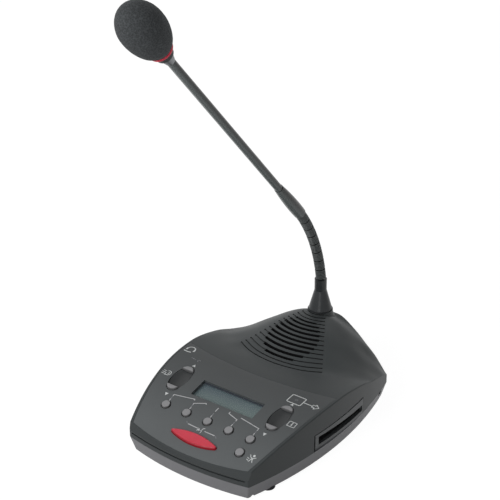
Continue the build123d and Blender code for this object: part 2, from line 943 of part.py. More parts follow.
def upper_shell():
    high = neck_seat_z + overrun
    shell = plan_prism(0, parting_z, high) & below_top(0)
    rim = []
    for edge in shell.edges():
        if edge.center().Z > parting_z + rim_radius and abs(edge.tangent_at(0.5).Z) < steep_edge_share:
            rim.append(edge)
    shell = fillet(rim, rim_radius) - lip_bevel()
    shell = shell + neck_boss()
    inner = plan_prism(side_wall, parting_z - overrun, high) & below_top(top_wall)
    shell = shell - inner
    shell = shell - (panel_prism(0) - above_arc(panel_thickness))
    shell = shell - panel_prism(panel_ledge)
    slots, grooves = slot_sketches()
    lowered = below_top(groove_depth)
    for outline in grooves:
        shell = shell - (extrude(Pos(0, 0, parting_z) * outline, high) - lowered)
    for outline in slots:
        shell = shell - extrude(Pos(0, 0, parting_z) * outline, high)
    shell = shell + speaker_seat()
    for place in speaker_screw_places():
        bore = cylinder_at(speaker_screw_radius + screw_gap, -overrun, speaker_screw_length)
        shell = shell - speaker_frame() * place * bore
    for x, y in mirrored_places(boss_places):
        post = Pos(x, y, 0) * cylinder_at(boss_radius, parting_z, high)
        post = post & below_top(panel_thickness + post_drop) & plan_prism(side_wall / 2, parting_z, high)
        bore = Pos(x, y, 0) * cylinder_at(
            housing_screw_radius + screw_gap, parting_z - overrun, parting_z + housing_screw_reach)
        shell = shell + post - bore
    shell = shell + jack_shelf() - jack_space()
    shell = shell - Pos(0, neck_y, 0) * cylinder_at(nut_pocket_radius, parting_z, nut_seat_z)
    shell = shell - Pos(0, neck_y, 0) * cylinder_at(stud_radius + stud_gap, parting_z, high)
    shell = shell - bezel_space()
    for side in (-1, 1):
        shell = shell - bus_space(side)
    groove_low = front_groove_z - front_groove_width / 2
    groove_high = front_groove_z + front_groove_width / 2
    reach = front_half_width - front_groove_end_gap
    groove = box_between(-reach, reach, -front_bow - overrun, corner_radius, groove_low, groove_high)
    return shell - (groove - plan_prism(front_groove_depth, parting_z, high))


def tapered_prism(wall, low, high):
    """The base's body: the plan outline drawn in towards the table, inside a wall."""
    span = parting_z - base_bottom_z
    low_inset = base_draft_inset * (parting_z - low) / span
    faces = [Pos(0, 0, low) * plan_face(low_inset + wall), Pos(0, 0, high) * plan_face(wall)]
    return loft(faces, ruled=True)


def base_shell():
    floor_top = base_bottom_z + floor_wall
    outer = tapered_prism(0, base_bottom_z, parting_z)
    base = outer - tapered_prism(side_wall, floor_top, parting_z)
    lip_outer = side_wall + lip_gap
    root = plan_prism(lip_gap + side_wall / 2, parting_z - lip_height, parting_z)
    lip = root + plan_prism(lip_outer, parting_z, parting_z + lip_height)
    lip = lip - plan_prism(lip_outer + lip_wall, base_bottom_z, parting_z + overrun)
    for x, y in mirrored_places(boss_places):
        lip = lip - Pos(x, y, 0) * cylinder_at(boss_radius + lip_gap, parting_z, parting_z + overrun)
    base = base + lip
    for x, y in mirrored_places(boss_places):
        base = base + ((Pos(x, y, 0) * cylinder_at(boss_radius, base_bottom_z, parting_z)) & outer)
        base = base - Pos(x, y, 0) * cylinder_at(
            housing_head_radius + head_gap, 0, base_bottom_z + housing_head_depth)
        base = base - Pos(x, y, 0) * cylinder_at(housing_screw_radius + screw_gap, 0, parting_z + overrun)
    for x, y in mirrored_places(main_post_places):
        base = base + Pos(x, y, 0) * cylinder_at(post_radius, base_bottom_z, main_board_z)
        base = base - Pos(x, y, 0) * cylinder_at(
            small_screw_radius + screw_gap, main_board_top() - small_screw_length - screw_gap, parting_z)
    for x, y in mirrored_places(foot_places):
        base = base - Pos(x, y, 0) * cylinder_at(foot_radius + foot_gap, 0, base_bottom_z + foot_recess)
    base = base - bezel_space()
    for side in (-1, 1):
        base = base - bus_space(side)
        near = min(side * rear_half_width, side * 2 * rear_half_width)
        far = max(side * rear_half_width, side * 2 * rear_half_width)
        base = base - box_between(near - notch_depth_inside() * (side > 0),
                                  far + notch_depth_inside() * (side < 0),
                                  notch_y - notch_length / 2, notch_y + notch_length / 2,
                                  parting_z - notch_height, parting_z + overrun)
    return base


def notch_depth_inside():
    return side_wall + overrun


def feet():
    shapes = []
    for x, y in mirrored_places(foot_places):
        foot = cylinder_at(foot_radius, 0, base_bottom_z + foot_recess)
        foot = fillet(foot.edges().sort_by(Axis.Z)[0], foot_edge_radius)
        shapes.append(Pos(x, y, 0) * foot)
    return shapes


def housing_screws():
    head_top = base_bottom_z + housing_head_depth
    tip = parting_z + housing_screw_reach - screw_gap
    screw = cylinder_at(housing_head_radius, head_top - housing_head_height, head_top)
    screw = screw + cylinder_at(housing_screw_radius, head_top - screw_gap, tip)
    return [Pos(x, y, 0) * screw for x, y in mirrored_places(boss_places)]


def main_board():
    board = box_between(-main_board_half_width, main_board_half_width, main_board_front_y,
                        main_board_back_y, main_board_z, main_board_top())
    for x, y in mirrored_places(main_post_places):
        board = board - Pos(x, y, 0) * cylinder_at(
            small_screw_radius + screw_gap, main_board_z - overrun, main_board_top() + overrun)
    return board


def main_screws():
    turned = Pos(0, 0, main_board_top()) * Rot(180, 0, 0) * small_screw()
    return [Pos(x, y, 0) * turned for x, y in mirrored_places(main_post_places)]


def board_chips():
    chip = Pos(0, 0, main_board_top() + chip_height / 2) * Box(chip_size, chip_size, chip_height)
    return [Pos(x, y, 0) * chip for x, y in chip_places]


def ballast_plate():
    low = base_bottom_z + floor_wall
    plate = box_between(-ballast_half_width, ballast_half_width, ballast_front_y, ballast_back_y,
                        low, low + ballast_thickness)
    return fillet(plate.edges().filter_by(Axis.Z), corner_radius)


def bus_socket(side):
    """A socket with a square mouth, a notch for the plug's latch and a closed back."""
    low = main_board_top()
    x = side * bus_x
    half = bus_width / 2
    body = box_between(x - half, x + half, bus_front_y() + bus_gap, bus_face_y(), low, low + bus_height)
    middle_z = low + bus_height / 2
    inner_y = bus_face_y() - bus_mouth_depth
    far = bus_face_y() + overrun
    mouth_half = bus_mouth_width / 2
    mouth = box_between(x - mouth_half, x + mouth_half, inner_y, far,
                        middle_z - bus_mouth_height / 2, middle_z + bus_mouth_height / 2)
    latch_half = bus_latch_width / 2
    latch = box_between(x - latch_half, x + latch_half, inner_y, far, middle_z,
                        middle_z + bus_mouth_height / 2 + bus_latch_height)
    body = body - mouth - latch
    return body & plan_prism(bus_gap, 0, parting_z + bus_height)


def headphone_socket():
    """A jack with its barrel in the left wall and its body on the shelf."""
    barrel_length = jack_bore_length
    barrel = Rot(0, 90, 0) * Cylinder(jack_barrel_radius, barrel_length,
                                      align=(Align.CENTER, Align.CENTER, Align.MIN))
    socket = Pos(-jack_face_x, jack_y, jack_z) * barrel
    body_x = -jack_face_x + jack_bore_length + overrun / 2
    half = jack_body_width / 2
    body = box_between(body_x - jack_body_length, body_x, jack_y - half, jack_y + half,
                       jack_z - jack_body_height / 2, jack_z + jack_body_height / 2)
    bore = Rot(0, 90, 0) * Cylinder(jack_bore_radius, jack_bore_length + overrun,
                                    align=(Align.CENTER, Align.CENTER, Align.MIN))
    return socket + body - Pos(-jack_face_x - overrun, jack_y, jack_z) * bore


def speaker_basket():
    flange_in = speaker_radius - speaker_flange_width
    bottom = -basket_depth
    points = [
        (flange_in, 0), (speaker_radius, 0), (speaker_radius, -speaker_flange),
        (flange_in + basket_wall, -speaker_flange), (basket_neck_radius, bottom),
        (basket_neck_radius, bottom - basket_wall), (0, bottom - basket_wall), (0, bottom),
        (basket_neck_radius - basket_wall, bottom), (flange_in, -speaker_flange),
    ]
    return speaker_frame() * turned_shape(points)


def speaker_magnet():
    top = -basket_depth - basket_wall
    return speaker_frame() * cylinder_at(magnet_radius, top - magnet_thickness, top)


def speaker_cone():
    edge = speaker_radius - speaker_flange_width - cone_edge_gap
    top = -cone_edge_drop
    low = top - cone_depth
    base = -basket_depth + cone_edge_gap
    points = [
        (edge, top), (edge, top - surround_thickness), (cone_edge_radius, top - surround_thickness),
        (cone_neck_radius, low - cone_wall), (cone_neck_radius, base), (0, base),
        (0, low + cone_wall), (cone_neck_radius, low + cone_wall), (cone_edge_radius, top),
    ]
    return speaker_frame() * turned_shape(points)


def speaker_retainer():
    """The ring that clamps the loudspeaker's flange to the seat."""
    low = -speaker_flange - retainer_thickness
    ring = cylinder_at(seat_outer_radius, low, 0)
    ring = ring - cylinder_at(retainer_inner_radius, low - overrun, overrun)
    ring = ring - cylinder_at(speaker_radius + speaker_gap, -speaker_flange, overrun)
    for place in speaker_screw_places():
        ring = ring - place * cylinder_at(speaker_screw_radius + screw_gap, low - overrun, overrun)
    return speaker_frame() * ring


def speaker_screws():
    low = -speaker_flange - retainer_thickness
    screw = cylinder_at(speaker_head_radius, low - speaker_head_height, low)
    screw = screw + cylinder_at(speaker_screw_radius, low - screw_gap, speaker_screw_length - screw_gap)
    return [speaker_frame() * place * screw for place in speaker_screw_places()]


def slot_cloth():
    """The dark cloth right behind the slots, inside the loudspeaker's collar."""
    field = speaker_frame() * cylinder_at(speaker_throat_radius - cloth_gap, 0, hump_reach_side / 2)
    drop = top_wall + cloth_gap
    return (field & below_top(drop)) - below_top(drop + cloth_thickness)


def neck_gasket():
    ring = cylinder_at(gasket_radius, neck_seat_z, neck_seat_z + gasket_thickness)
    ring = ring - cylinder_at(stud_radius + stud_gap, parting_z, neck_seat_z + overrun)
    return Pos(0, neck_y, 0) * ring


def collar_foot_z():
    return neck_seat_z + gasket_thickness


def collar_top_z():
    return collar_foot_z() + collar_cone_height + collar_neck_height


def neck_collar():
    """The cone and ferrule that the flexible neck grows from, with a stud below and a ball on top."""
    foot = collar_foot_z()
    top = collar_top_z()
    points = [
        (0, foot - stud_length), (stud_radius, foot - stud_length), (stud_radius, foot),
        (collar_base_radius, foot), (collar_base_radius, foot + collar_edge_radius),
        (collar_top_radius, foot + collar_cone_height), (collar_top_radius, top), (0, top),
    ]
    collar = turned_shape(points) + Pos(0, 0, top + collar_head) * Sphere(ball_radius)
    collar = collar - cylinder_at(wire_bore_radius, 0, top + overrun + ball_radius)
    return Pos(0, neck_y, 0) * collar


def neck_nut():
    nut = extrude(RegularPolygon(nut_across / 2, 6, major_radius=False), nut_thickness)
    nut = nut - Cylinder(stud_radius, 4 * nut_thickness)
    return Pos(0, neck_y, nut_seat_z - nut_thickness) * nut


def link_angle(index):
    """How far a link leans forward from upright, in degrees."""
    return first_link_angle + index * link_turn


def link_joint(index):
    """The middle of the ball joint under a link; the last one lies under the sleeve."""
    y = neck_y
    z = collar_top_z() + collar_head
    for lower in range(index):
        y -= link_length * sin(radians(link_angle(lower)))
        z += link_length * cos(radians(link_angle(lower)))
    return Vector(0, y, z)


def link_frame(index):
    """A frame on a link's lower joint whose Z runs along the link."""
    joint = link_joint(index)
    return Location((joint.X, joint.Y, joint.Z), (link_angle(index), 0, 0))


def ribbed_tube(low, high):
    """A tube body whose ribs are each drawn through four circles."""
    pitch = (high - low) / rib_count
    circles = []
    for rib in range(rib_count):
        start = low + rib * pitch
        flank = pitch * rib_flank_share
        crest = pitch * rib_crest_share
        stations = [(start, rib_root_radius), (start + flank, rib_radius),
                    (start + flank + crest, rib_radius), (start + 2 * flank + crest, rib_root_radius)]
        for z, radius in stations:
            circles.append(Pos(0, 0, z) * Circle(radius))
    circles.append(Pos(0, 0, high) * Circle(rib_root_radius))
    return loft(circles, ruled=True)


def cup():
    return Sphere(ball_radius + cup_gap)


def neck_link(index):
    """One link of the neck: a cup below for the ball of the link under it, a ball on top."""
    body = ribbed_tube(-link_foot, link_length - link_head)
    body = body - cup() + Pos(0, 0, link_length) * Sphere(ball_radius)
    body = body - cylinder_at(wire_bore_radius, 0, link_length + ball_radius + overrun)
    return link_frame(index) * body


def head_frame():
    return link_frame(link_count)


def neck_sleeve():
    """The long sleeve on the neck's upper end; it swells a little and then tapers."""
    belly_z = sleeve_belly_share * sleeve_length
    side = ThreePointArc((sleeve_end_radius, -link_foot), (sleeve_belly_radius, belly_z),
                         (sleeve_tip_radius, sleeve_length))
    lines = [Line((0, -link_foot), (sleeve_end_radius, -link_foot)), side,
             Line((sleeve_tip_radius, sleeve_length), (0, sleeve_length)),
             Line((0, sleeve_length), (0, -link_foot))]
    sleeve = turned_lines(lines) - cup()
    sleeve = sleeve - cylinder_at(wire_bore_radius, 0, tube_start + overrun)
    sleeve = sleeve - cylinder_at(tube_radius, tube_start, sleeve_length + overrun)
    return head_frame() * sleeve


def upper_tube():
    end = head_start + head_cone_insert
    tube = cylinder_at(tube_radius, tube_start, end)
    tube = tube - cylinder_at(tube_bore_radius, 0, end + overrun)
    return head_frame() * tube


def head_cone():
    end = head_start + head_cone_length
    points = [(0, head_start), (sleeve_tip_radius, head_start), (head_cone_radius, end), (0, end)]
    cone = turned_shape(points)
    cone = cone - cylinder_at(tube_radius, 0, head_start + head_cone_insert)
    cone = cone - cylinder_at(tube_bore_radius, 0, end + overrun)
    return head_frame() * cone


def ring_z():
    return head_start + head_cone_length + head_collar_length


def head_collar():
    start = head_start + head_cone_length
    collar = cylinder_at(head_collar_radius, start, ring_z())
    collar = fillet(collar.edges().sort_by(Axis.Z)[0], head_collar_edge)
    return head_frame() * (collar - cylinder_at(tube_bore_radius, 0, ring_z() + overrun))


def light_ring():
    top = ring_z() + ring_thickness
    ring = cylinder_at(ring_radius, ring_z(), top)
    ring = fillet(ring.edges(), ring_edge)
    return head_frame() * (ring - cylinder_at(tube_bore_radius, 0, top + overrun))


def mic_capsule():
    low = ring_z() + ring_thickness
    capsule = cylinder_at(capsule_radius, low, low + capsule_length)
    return head_frame() * fillet(capsule.edges().sort_by(Axis.Z)[-1], capsule_edge)


def foam_profile():
    """The foam's outline from its foot at the ring to its tip, as (radius, height) points."""
    widest = ring_z() + ring_thickness + foam_widest
    lower_axis = foam_widest / sqrt(1 - (foam_foot_radius / foam_radius) ** 2)
    points = []
    for step in range(foam_steps):
        below = foam_widest * (1 - step / foam_steps)
        points.append((foam_radius * sqrt(1 - (below / lower_axis) ** 2), widest - below))
    for step in range(foam_steps):
        turn = radians(90 * step / foam_steps)
        points.append((foam_radius * cos(turn), widest + foam_tip * sin(turn)))
    points.append((0, widest + foam_tip))
    return points


def windshield():
    """The foam over the capsule: slim at the ring and fullest towards its tip."""
    low = ring_z() + ring_thickness
    points = foam_profile()
    first = Vector(*points[1]) - Vector(*points[0])
    flank = Spline(points, tangents=[first, (-1, 0)])
    lines = [Line((0, low), points[0]), flank, Line(points[-1], (0, low))]
    foam = turned_lines(lines)
    bore_radius = capsule_radius + foam_bore_gap
    foam = foam - cylinder_at(bore_radius, 0, low + capsule_length + foam_bore_gap)
    return head_frame() * foam


def foam_front_y():
    """The furthest point forward of the leaning foam."""
    lean = radians(link_angle(link_count))
    middle = head_frame() * Pos(0, 0, ring_z() + ring_thickness + foam_widest)
    return middle.position.Y - hypot(foam_radius * cos(lean), foam_tip * sin(lean))


def all_pieces():
    pieces = {
        "upper_shell": upper_shell(),
        "base_shell": base_shell(),
        "control_panel": control_panel(),
        "display_window": display_window(),
        "lcd_glass": lcd_glass(),
        "lcd_back": lcd_back(),
        "talk_button": talk_button(),
        "talk_leds": talk_leds(),
        "help_key": round_key(help_key_x, help_key_y),
        "volume_down_key": pair_key(-pair_x, -1),
        "volume_up_key": pair_key(-pair_x, 1),
        "channel_down_key": pair_key(pair_x, -1),
        "channel_up_key": pair_key(pair_x, 1),
        "dish_left": dish(-pair_x),
        "dish_right": dish(pair_x),
        "key_board": key_board(),
        "key_switches": key_switches(),
        "board_screws": board_screws(),
        "card_bezel": card_bezel(),
        "card_reader": card_reader(),
        "reader_brackets": reader_brackets(),
        "slot_cloth": slot_cloth(),
        "speaker_basket": speaker_basket(),
        "speaker_magnet": speaker_magnet(),
        "speaker_cone": speaker_cone(),
        "speaker_retainer": speaker_retainer(),
        "speaker_screws": speaker_screws(),
        "headphone_socket": headphone_socket(),
        "bus_socket_left": bus_socket(-1),
        "bus_socket_right": bus_socket(1),
        "main_board": main_board(),
        "board_chips": board_chips(),
        "main_screws": main_screws(),
        "ballast_plate": ballast_plate(),
        "feet": feet(),
        "housing_screws": housing_screws(),
        "neck_gasket": neck_gasket(),
        "neck_collar": neck_collar(),
        "neck_nut": neck_nut(),
        "neck_sleeve": neck_sleeve(),
        "upper_tube": upper_tube(),
        "head_cone": head_cone(),
        "head_collar": head_collar(),
        "light_ring": light_ring(),
        "mic_capsule": mic_capsule(),
        "windshield": windshield(),
    }
    for number, (x, y) in enumerate(soft_key_places(), start=1):
        pieces[f"soft_key_{number}"] = round_key(x, y)
    for index in range(link_count):
        pieces[f"neck_link_{index + 1}"] = neck_link(index)
    return pieces


def as_solids(shape):
    """The separate solids of a piece or of a set of equal pieces."""
    if isinstance(shape, list):
        return [solid for item in shape for solid in item.solids()]
    return list(shape.solids())


os.makedirs("parts", exist_ok=True)
middle_y = (foam_front_y() + side_length + rear_bow) / 2
for name, shape in all_pieces().items():
    solids = as_solids(shape)
    moved = [Pos(0, -middle_y, 0) * solid for solid in solids]
    whole = moved[0] if len(moved) == 1 else Compound(moved)
    export_step(whole, f"parts/{name}.step")

print("moved back by", round(-middle_y, 3))
print("keys move along", key_normal)
for index in range(link_count + 1):
    joint = link_joint(index)
    print("neck joint", index, round(joint.Y - middle_y, 3), round(joint.Z, 3), round(link_angle(index), 3))
print("jack", -jack_face_x, round(jack_y - middle_y, 3), jack_z)
print("card slot y", round(card_slot_y - middle_y, 3), "bus face y", round(bus_face_y() - middle_y, 3),
      "bus z", round(main_board_top() + bus_height / 2, 3))
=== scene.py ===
# %% [markdown]
# A conference delegate unit stands on a pale table: a wedge-shaped casing with keys and a
# display, a hump with curved sound slots, and a microphone on a flexible neck. The hard parts
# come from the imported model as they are. Here they get their finishes, and the foam, the
# printed signs and the small contacts are modelled. Lengths typed in this file are millimetres,
# which MM turns into metres, unless a name ends in _M.

# %% Load the frame
import math

import bmesh
import bpy
from mathutils import Matrix, Vector, noise


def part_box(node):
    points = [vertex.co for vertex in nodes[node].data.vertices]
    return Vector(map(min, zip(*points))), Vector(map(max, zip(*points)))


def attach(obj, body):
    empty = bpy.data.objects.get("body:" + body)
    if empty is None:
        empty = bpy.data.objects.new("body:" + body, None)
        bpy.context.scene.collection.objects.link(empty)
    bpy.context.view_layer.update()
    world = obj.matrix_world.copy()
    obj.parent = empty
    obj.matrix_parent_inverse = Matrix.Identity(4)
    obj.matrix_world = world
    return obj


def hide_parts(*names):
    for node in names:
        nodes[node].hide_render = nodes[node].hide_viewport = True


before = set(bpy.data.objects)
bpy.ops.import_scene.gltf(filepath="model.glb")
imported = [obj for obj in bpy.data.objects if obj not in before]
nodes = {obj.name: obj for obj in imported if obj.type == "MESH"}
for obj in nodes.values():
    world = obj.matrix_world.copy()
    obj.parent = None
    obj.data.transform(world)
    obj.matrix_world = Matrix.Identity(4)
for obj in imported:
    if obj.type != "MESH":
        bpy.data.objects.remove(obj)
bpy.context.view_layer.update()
MM = 0.001

# %% [markdown]
# The photograph was taken with a long lens from the front right, well above the table. Its
# place was worked out from the casing's corners and from the grid of keys, so the camera stands
# where the photographer stood. A camera looks along its own -Z, so its Z axis is the vector
# back to the lens.

# %% Camera
CAMERA_PLACE = Vector((597.07, -799.50, 689.31)) * MM
CAMERA_AZIMUTH = math.radians(36.388)
CAMERA_ELEVATION = math.radians(27.994)
CAMERA_ROLL = math.radians(-0.288)
CAMERA_LENS = 114.5
SENSOR_WIDTH = 36.0
CAMERA_REACH_M = 20.0


def direction(azimuth, elevation):
    """The unit vector from the object towards a place seen at these two angles."""
    flat = math.cos(elevation)
    return Vector((math.sin(azimuth) * flat, -math.cos(azimuth) * flat, math.sin(elevation)))


def make_camera():
    back = direction(CAMERA_AZIMUTH, CAMERA_ELEVATION)
    right = Vector((math.cos(CAMERA_AZIMUTH), math.sin(CAMERA_AZIMUTH), 0))
    up = back.cross(right)
    turned_right = right * math.cos(CAMERA_ROLL) + up * math.sin(CAMERA_ROLL)
    turned_up = up * math.cos(CAMERA_ROLL) - right * math.sin(CAMERA_ROLL)
    data = bpy.data.cameras.new("photo_camera")
    data.lens = CAMERA_LENS
    data.sensor_width = SENSOR_WIDTH
    data.clip_end = CAMERA_REACH_M
    camera = bpy.data.objects.new("photo_camera", data)
    turn = Matrix((turned_right, turned_up, back)).transposed().to_4x4()
    camera.matrix_world = Matrix.Translation(CAMERA_PLACE) @ turn
    bpy.context.scene.collection.objects.link(camera)
    bpy.context.scene.camera = camera
    return camera


camera = make_camera()
print("camera at", [round(v, 3) for v in camera.location])

# %% [markdown]
# Shader maths reads best as plain sums. A Wire holds one socket of a node tree, and each time
# two of them, or one and a number, are added, multiplied or compared, one more Math node is
# made.


# %% Sockets that can be added up
def feed(tree, value, socket):
    """Links a wire to a socket, or gives the socket a plain value."""
    if isinstance(value, Wire):
        tree.links.new(value.socket, socket)
    else:
        socket.default_value = value


def combine(tree, operation, *values, clamp=False):
    """The result of a new Math node that takes these wires and numbers."""
    made = tree.nodes.new("ShaderNodeMath")
    made.operation = operation
    made.use_clamp = clamp
    for value, socket in zip(values, made.inputs):
        feed(tree, value, socket)
    return Wire(tree, made.outputs[0])


class Wire:
    def __init__(self, tree, socket):
        self.tree = tree
        self.socket = socket

    def math(self, operation, *others, clamp=False):
        return combine(self.tree, operation, self, *others, clamp=clamp)

    def __add__(self, other):
        return self.math("ADD", other)

    def __mul__(self, other):
        return self.math("MULTIPLY", other)

    def __sub__(self, other):
        return self.math("SUBTRACT", other)

    def __rsub__(self, other):
        return combine(self.tree, "SUBTRACT", other, self)

    def __truediv__(self, other):
        return self.math("DIVIDE", other)

    def __gt__(self, other):
        return self.math("GREATER_THAN", other)

    def limited(self):
        """The same value, kept between 0 and 1."""
        return self.math("ADD", 0.0, clamp=True)


# %% [markdown]
# A finish is a material with a few nodes. One class makes the material and adds any node by its
# type and its inputs, so that each finish below can be read as a short recipe.


# %% Recipes for finishes
MIX_COLOURS = (6, 7)
MIX_RESULT = 2


def linear(red, green, blue):
    """A colour given as 0 to 255 screen values, as the linear numbers that shaders use."""
    shares = [value / 255 for value in (red, green, blue)]
    curved = [s / 12.92 if s <= 0.04045 else ((s + 0.055) / 1.055) ** 2.4 for s in shares]
    return (*curved, 1.0)


def scaled(colour, factor):
    return tuple(min(1.0, value * factor) for value in colour[:3]) + (1.0,)


class Finish:
    def __init__(self, name):
        self.material = bpy.data.materials.new(name)
        self.material.use_nodes = True
        self.tree = self.material.node_tree
        self.tree.nodes.clear()
        self.output = self.tree.nodes.new("ShaderNodeOutputMaterial")
        self.place = Wire(self.tree, self.tree.nodes.new("ShaderNodeTexCoord").outputs["Object"])

    def node(self, kind, out=0, **inputs):
        """One output of a new node; an input named Base_Color goes to the socket Base Color."""
        made = self.tree.nodes.new("ShaderNode" + kind)
        for key, value in inputs.items():
            feed(self.tree, value, made.inputs[key.replace("_", " ")])
        return Wire(self.tree, made.outputs[out])

    def split(self, vector):
        made = self.tree.nodes.new("ShaderNodeSeparateXYZ")
        feed(self.tree, vector, made.inputs[0])
        return [Wire(self.tree, made.outputs[index]) for index in range(3)]

    def axes(self):
        return self.split(self.place)

    def facing_up(self, low, high):
        """0 on steep faces and 1 on level ones, with a short ramp between two slopes."""
        upward = self.split(self.node("NewGeometry", out="Normal"))[2]
        return ((upward - low) / (high - low)).limited()

    def blend(self, mask, first, second):
        """The first colour where the mask is 0, the second where it is 1."""
        made = self.tree.nodes.new("ShaderNodeMix")
        made.data_type = "RGBA"
        feed(self.tree, mask, made.inputs[0])
        for index, colour in zip(MIX_COLOURS, (first, second)):
            feed(self.tree, colour, made.inputs[index])
        return Wire(self.tree, made.outputs[MIX_RESULT])

    def shades(self, mask, colour, low, high):
        """A colour that the mask takes from one share of its brightness to another."""
        return self.blend(mask, scaled(colour, low), scaled(colour, high))

    def noise(self, size, detail=2.0, roughness=0.5):
        """Soft spots of about this many millimetres; values near 0.5."""
        return self.node("TexNoise", Vector=self.place, Scale=1 / (size * MM), Detail=detail,
                         Roughness=roughness)

    def bump(self, height, depth):
        """Raises the surface by up to a depth in millimetres."""
        return self.node("Bump", Height=height, Strength=1.0, Distance=depth * MM)

    def surface(self, **inputs):
        made = self.node("BsdfPrincipled", **inputs)
        self.tree.links.new(made.socket, self.output.inputs[0])
        return self.material


# %% [markdown]
# The casing is moulded in a dark grey plastic with a fine satin grain. Seen close up, the grain
# is a shallow pattern of bumps a quarter of a millimetre wide; from further away it only
# softens the highlights. Handling leaves the broad faces a little more polished in patches. Three
# more things are painted light and shade: painted shade darkens steep faces, a painted
# reflection lightens the panel towards its front, and a painted shadow makes the walls of the
# sound slots nearly black.


# %% Moulded plastics
NECK_Y = 103.269
NECK_CLEARANCE = 6.0
SLOT_REACH = 66.0
SLOT_HALF_WIDTH = 46.0
SLOT_SLOPES = (0.3, 0.6)
# The cloth's own near black, also used as painted shadow on the slot walls.
CLOTH_AND_SHADE_BLACK = linear(12, 12, 13)
RAMP_OF_ONE_MM = 1000.0
GRAIN_WIDTH = 0.28
GRAIN_DEPTH = 0.012
SHADE_LOW = 0.86
SHADE_HIGH = 1.14
STEEP_SHADE_SLOPES = (0.55, 0.9)
POLISH = 0.05
# Where the painted reflection on the panel starts, and how far it runs towards the front.
REFLECTION_FROM_Y = 10.0
REFLECTION_RUN = 80.0


def slot_shade_mask(finish):
    """1 on the walls of the sound slots, which are steep and lie before the neck; painted shadow
    goes there.
    """
    x, y, _ = finish.axes()
    behind = y - NECK_Y * MM
    distance = (x * x + behind * behind).math("SQRT")
    steep = 1 - finish.facing_up(*SLOT_SLOPES)
    near = ((SLOT_REACH * MM - distance) * RAMP_OF_ONE_MM).limited()
    before = (((NECK_Y - NECK_CLEARANCE) * MM - y) * RAMP_OF_ONE_MM).limited()
    inside = ((SLOT_HALF_WIDTH * MM - x.math("ABSOLUTE")) * RAMP_OF_ONE_MM).limited()
    return steep * near * before * inside


def moulded(name, colour, roughness, grain=GRAIN_WIDTH, depth=GRAIN_DEPTH, side=1.0,
            front=1.0, slots=False):
    """Grained plastic; shares of its brightness paint shade on steep faces and light on the front.
    """
    finish = Finish(name)
    cloud = finish.noise(size=38.0, detail=3.0)
    speck = finish.noise(size=0.5)
    tone = (cloud * 0.75 + speck * 0.25).limited()

    def shaded(share):
        return finish.shades(tone, colour, SHADE_LOW * share, SHADE_HIGH * share)

    base = shaded(1.0)
    # Painted shade: steep faces keep only the share side of the brightness.
    if side != 1.0:
        base = finish.blend(finish.facing_up(*STEEP_SHADE_SLOPES), shaded(side), base)
    # Painted reflection: the face gets lighter towards its front.
    if front != 1.0:
        _, y, _ = finish.axes()
        near = ((REFLECTION_FROM_Y * MM - y) / (REFLECTION_RUN * MM)).limited()
        base = finish.blend(near, base, shaded(front))
    # Painted shadow: the steep walls of the sound slots are nearly black.
    if slots:
        base = finish.blend(slot_shade_mask(finish), base, CLOTH_AND_SHADE_BLACK)
    rough = cloud * (2 * POLISH) + (roughness - POLISH)
    grains = finish.noise(size=grain, detail=2.0, roughness=0.6)
    return finish.surface(Base_Color=base, Roughness=rough, Specular_IOR_Level=0.22,
                          Normal=finish.bump(grains, depth))


SHELL_DARK = linear(64, 68, 69)
SHELL_GREY = linear(126, 126, 129)
PANEL_GREY = linear(78, 81, 82)
KEY_GREY = linear(158, 158, 160)
# The casing's steep walls get painted shade, and the walls of the sound slots painted shadow.
shell_dark = moulded("shell_dark_grain", SHELL_DARK, roughness=0.46, side=0.82, slots=True)
shell_grey = moulded("shell_grey_grain", SHELL_GREY, roughness=0.5)
# The panel's front gets a painted reflection, up to 1.85 times as bright.
panel_grey = moulded("panel_film", PANEL_GREY, roughness=0.42, grain=0.2, depth=0.008, front=1.85)
# The keys' steep sides get painted shade.
key_grey = moulded("key_satin", KEY_GREY, roughness=0.45, grain=0.2, depth=0.006, side=0.42)
# The dishes' darker grey is painted shade and reflection in their concave scoops.
dish_shaded = moulded("dish_satin", linear(54, 56, 57), roughness=0.4, grain=0.25, depth=0.01)
inner_black = moulded("inner_moulding", linear(34, 34, 36), roughness=0.55, grain=0.3, depth=0.02)
print("casing finish:", shell_dark.name, "nodes:", len(shell_dark.node_tree.nodes))

# %% [markdown]
# The bezel of the card slot has the casing's grain on its face. The inside of its mouth is
# painted nearly black as shade, since hardly any light gets in there.


# %% Card slot
MOUTH_X = 66.2


def slot_frame(name, colour, mouth_shade):
    """A grained face, and a painted shade colour for all that lies further in than the mouth's
    edge.
    """
    finish = Finish(name)
    x, _, _ = finish.axes()
    cloud = finish.noise(size=20.0, detail=3.0)
    face = finish.shades(cloud, colour, low=0.9, high=1.1)
    grains = finish.noise(size=GRAIN_WIDTH, detail=2.0, roughness=0.6)
    return finish.surface(Base_Color=finish.blend(x > MOUTH_X * MM, mouth_shade, face),
                          Roughness=cloud * 0.1 + 0.45, Normal=finish.bump(grains, GRAIN_DEPTH))


# The second colour is painted shade inside the mouth of the card slot.
bezel_dark = slot_frame("bezel_grain", linear(72, 75, 77), linear(18, 18, 19))
print("bezel finish:", bezel_dark.name)

# %% [markdown]
# The talk key is a clear red lens. Its faint glow is a painted sheen on its top, and the deeper
# red on its steep edge is painted shade. Light that enters it comes back redder, so a little
# subsurface scattering and a thin coat give it depth. The ring under the foam is the same
# plastic, and glows a little more.


# %% Clear red plastics
LENS_SHADE_SLOPES = (0.6, 0.93)


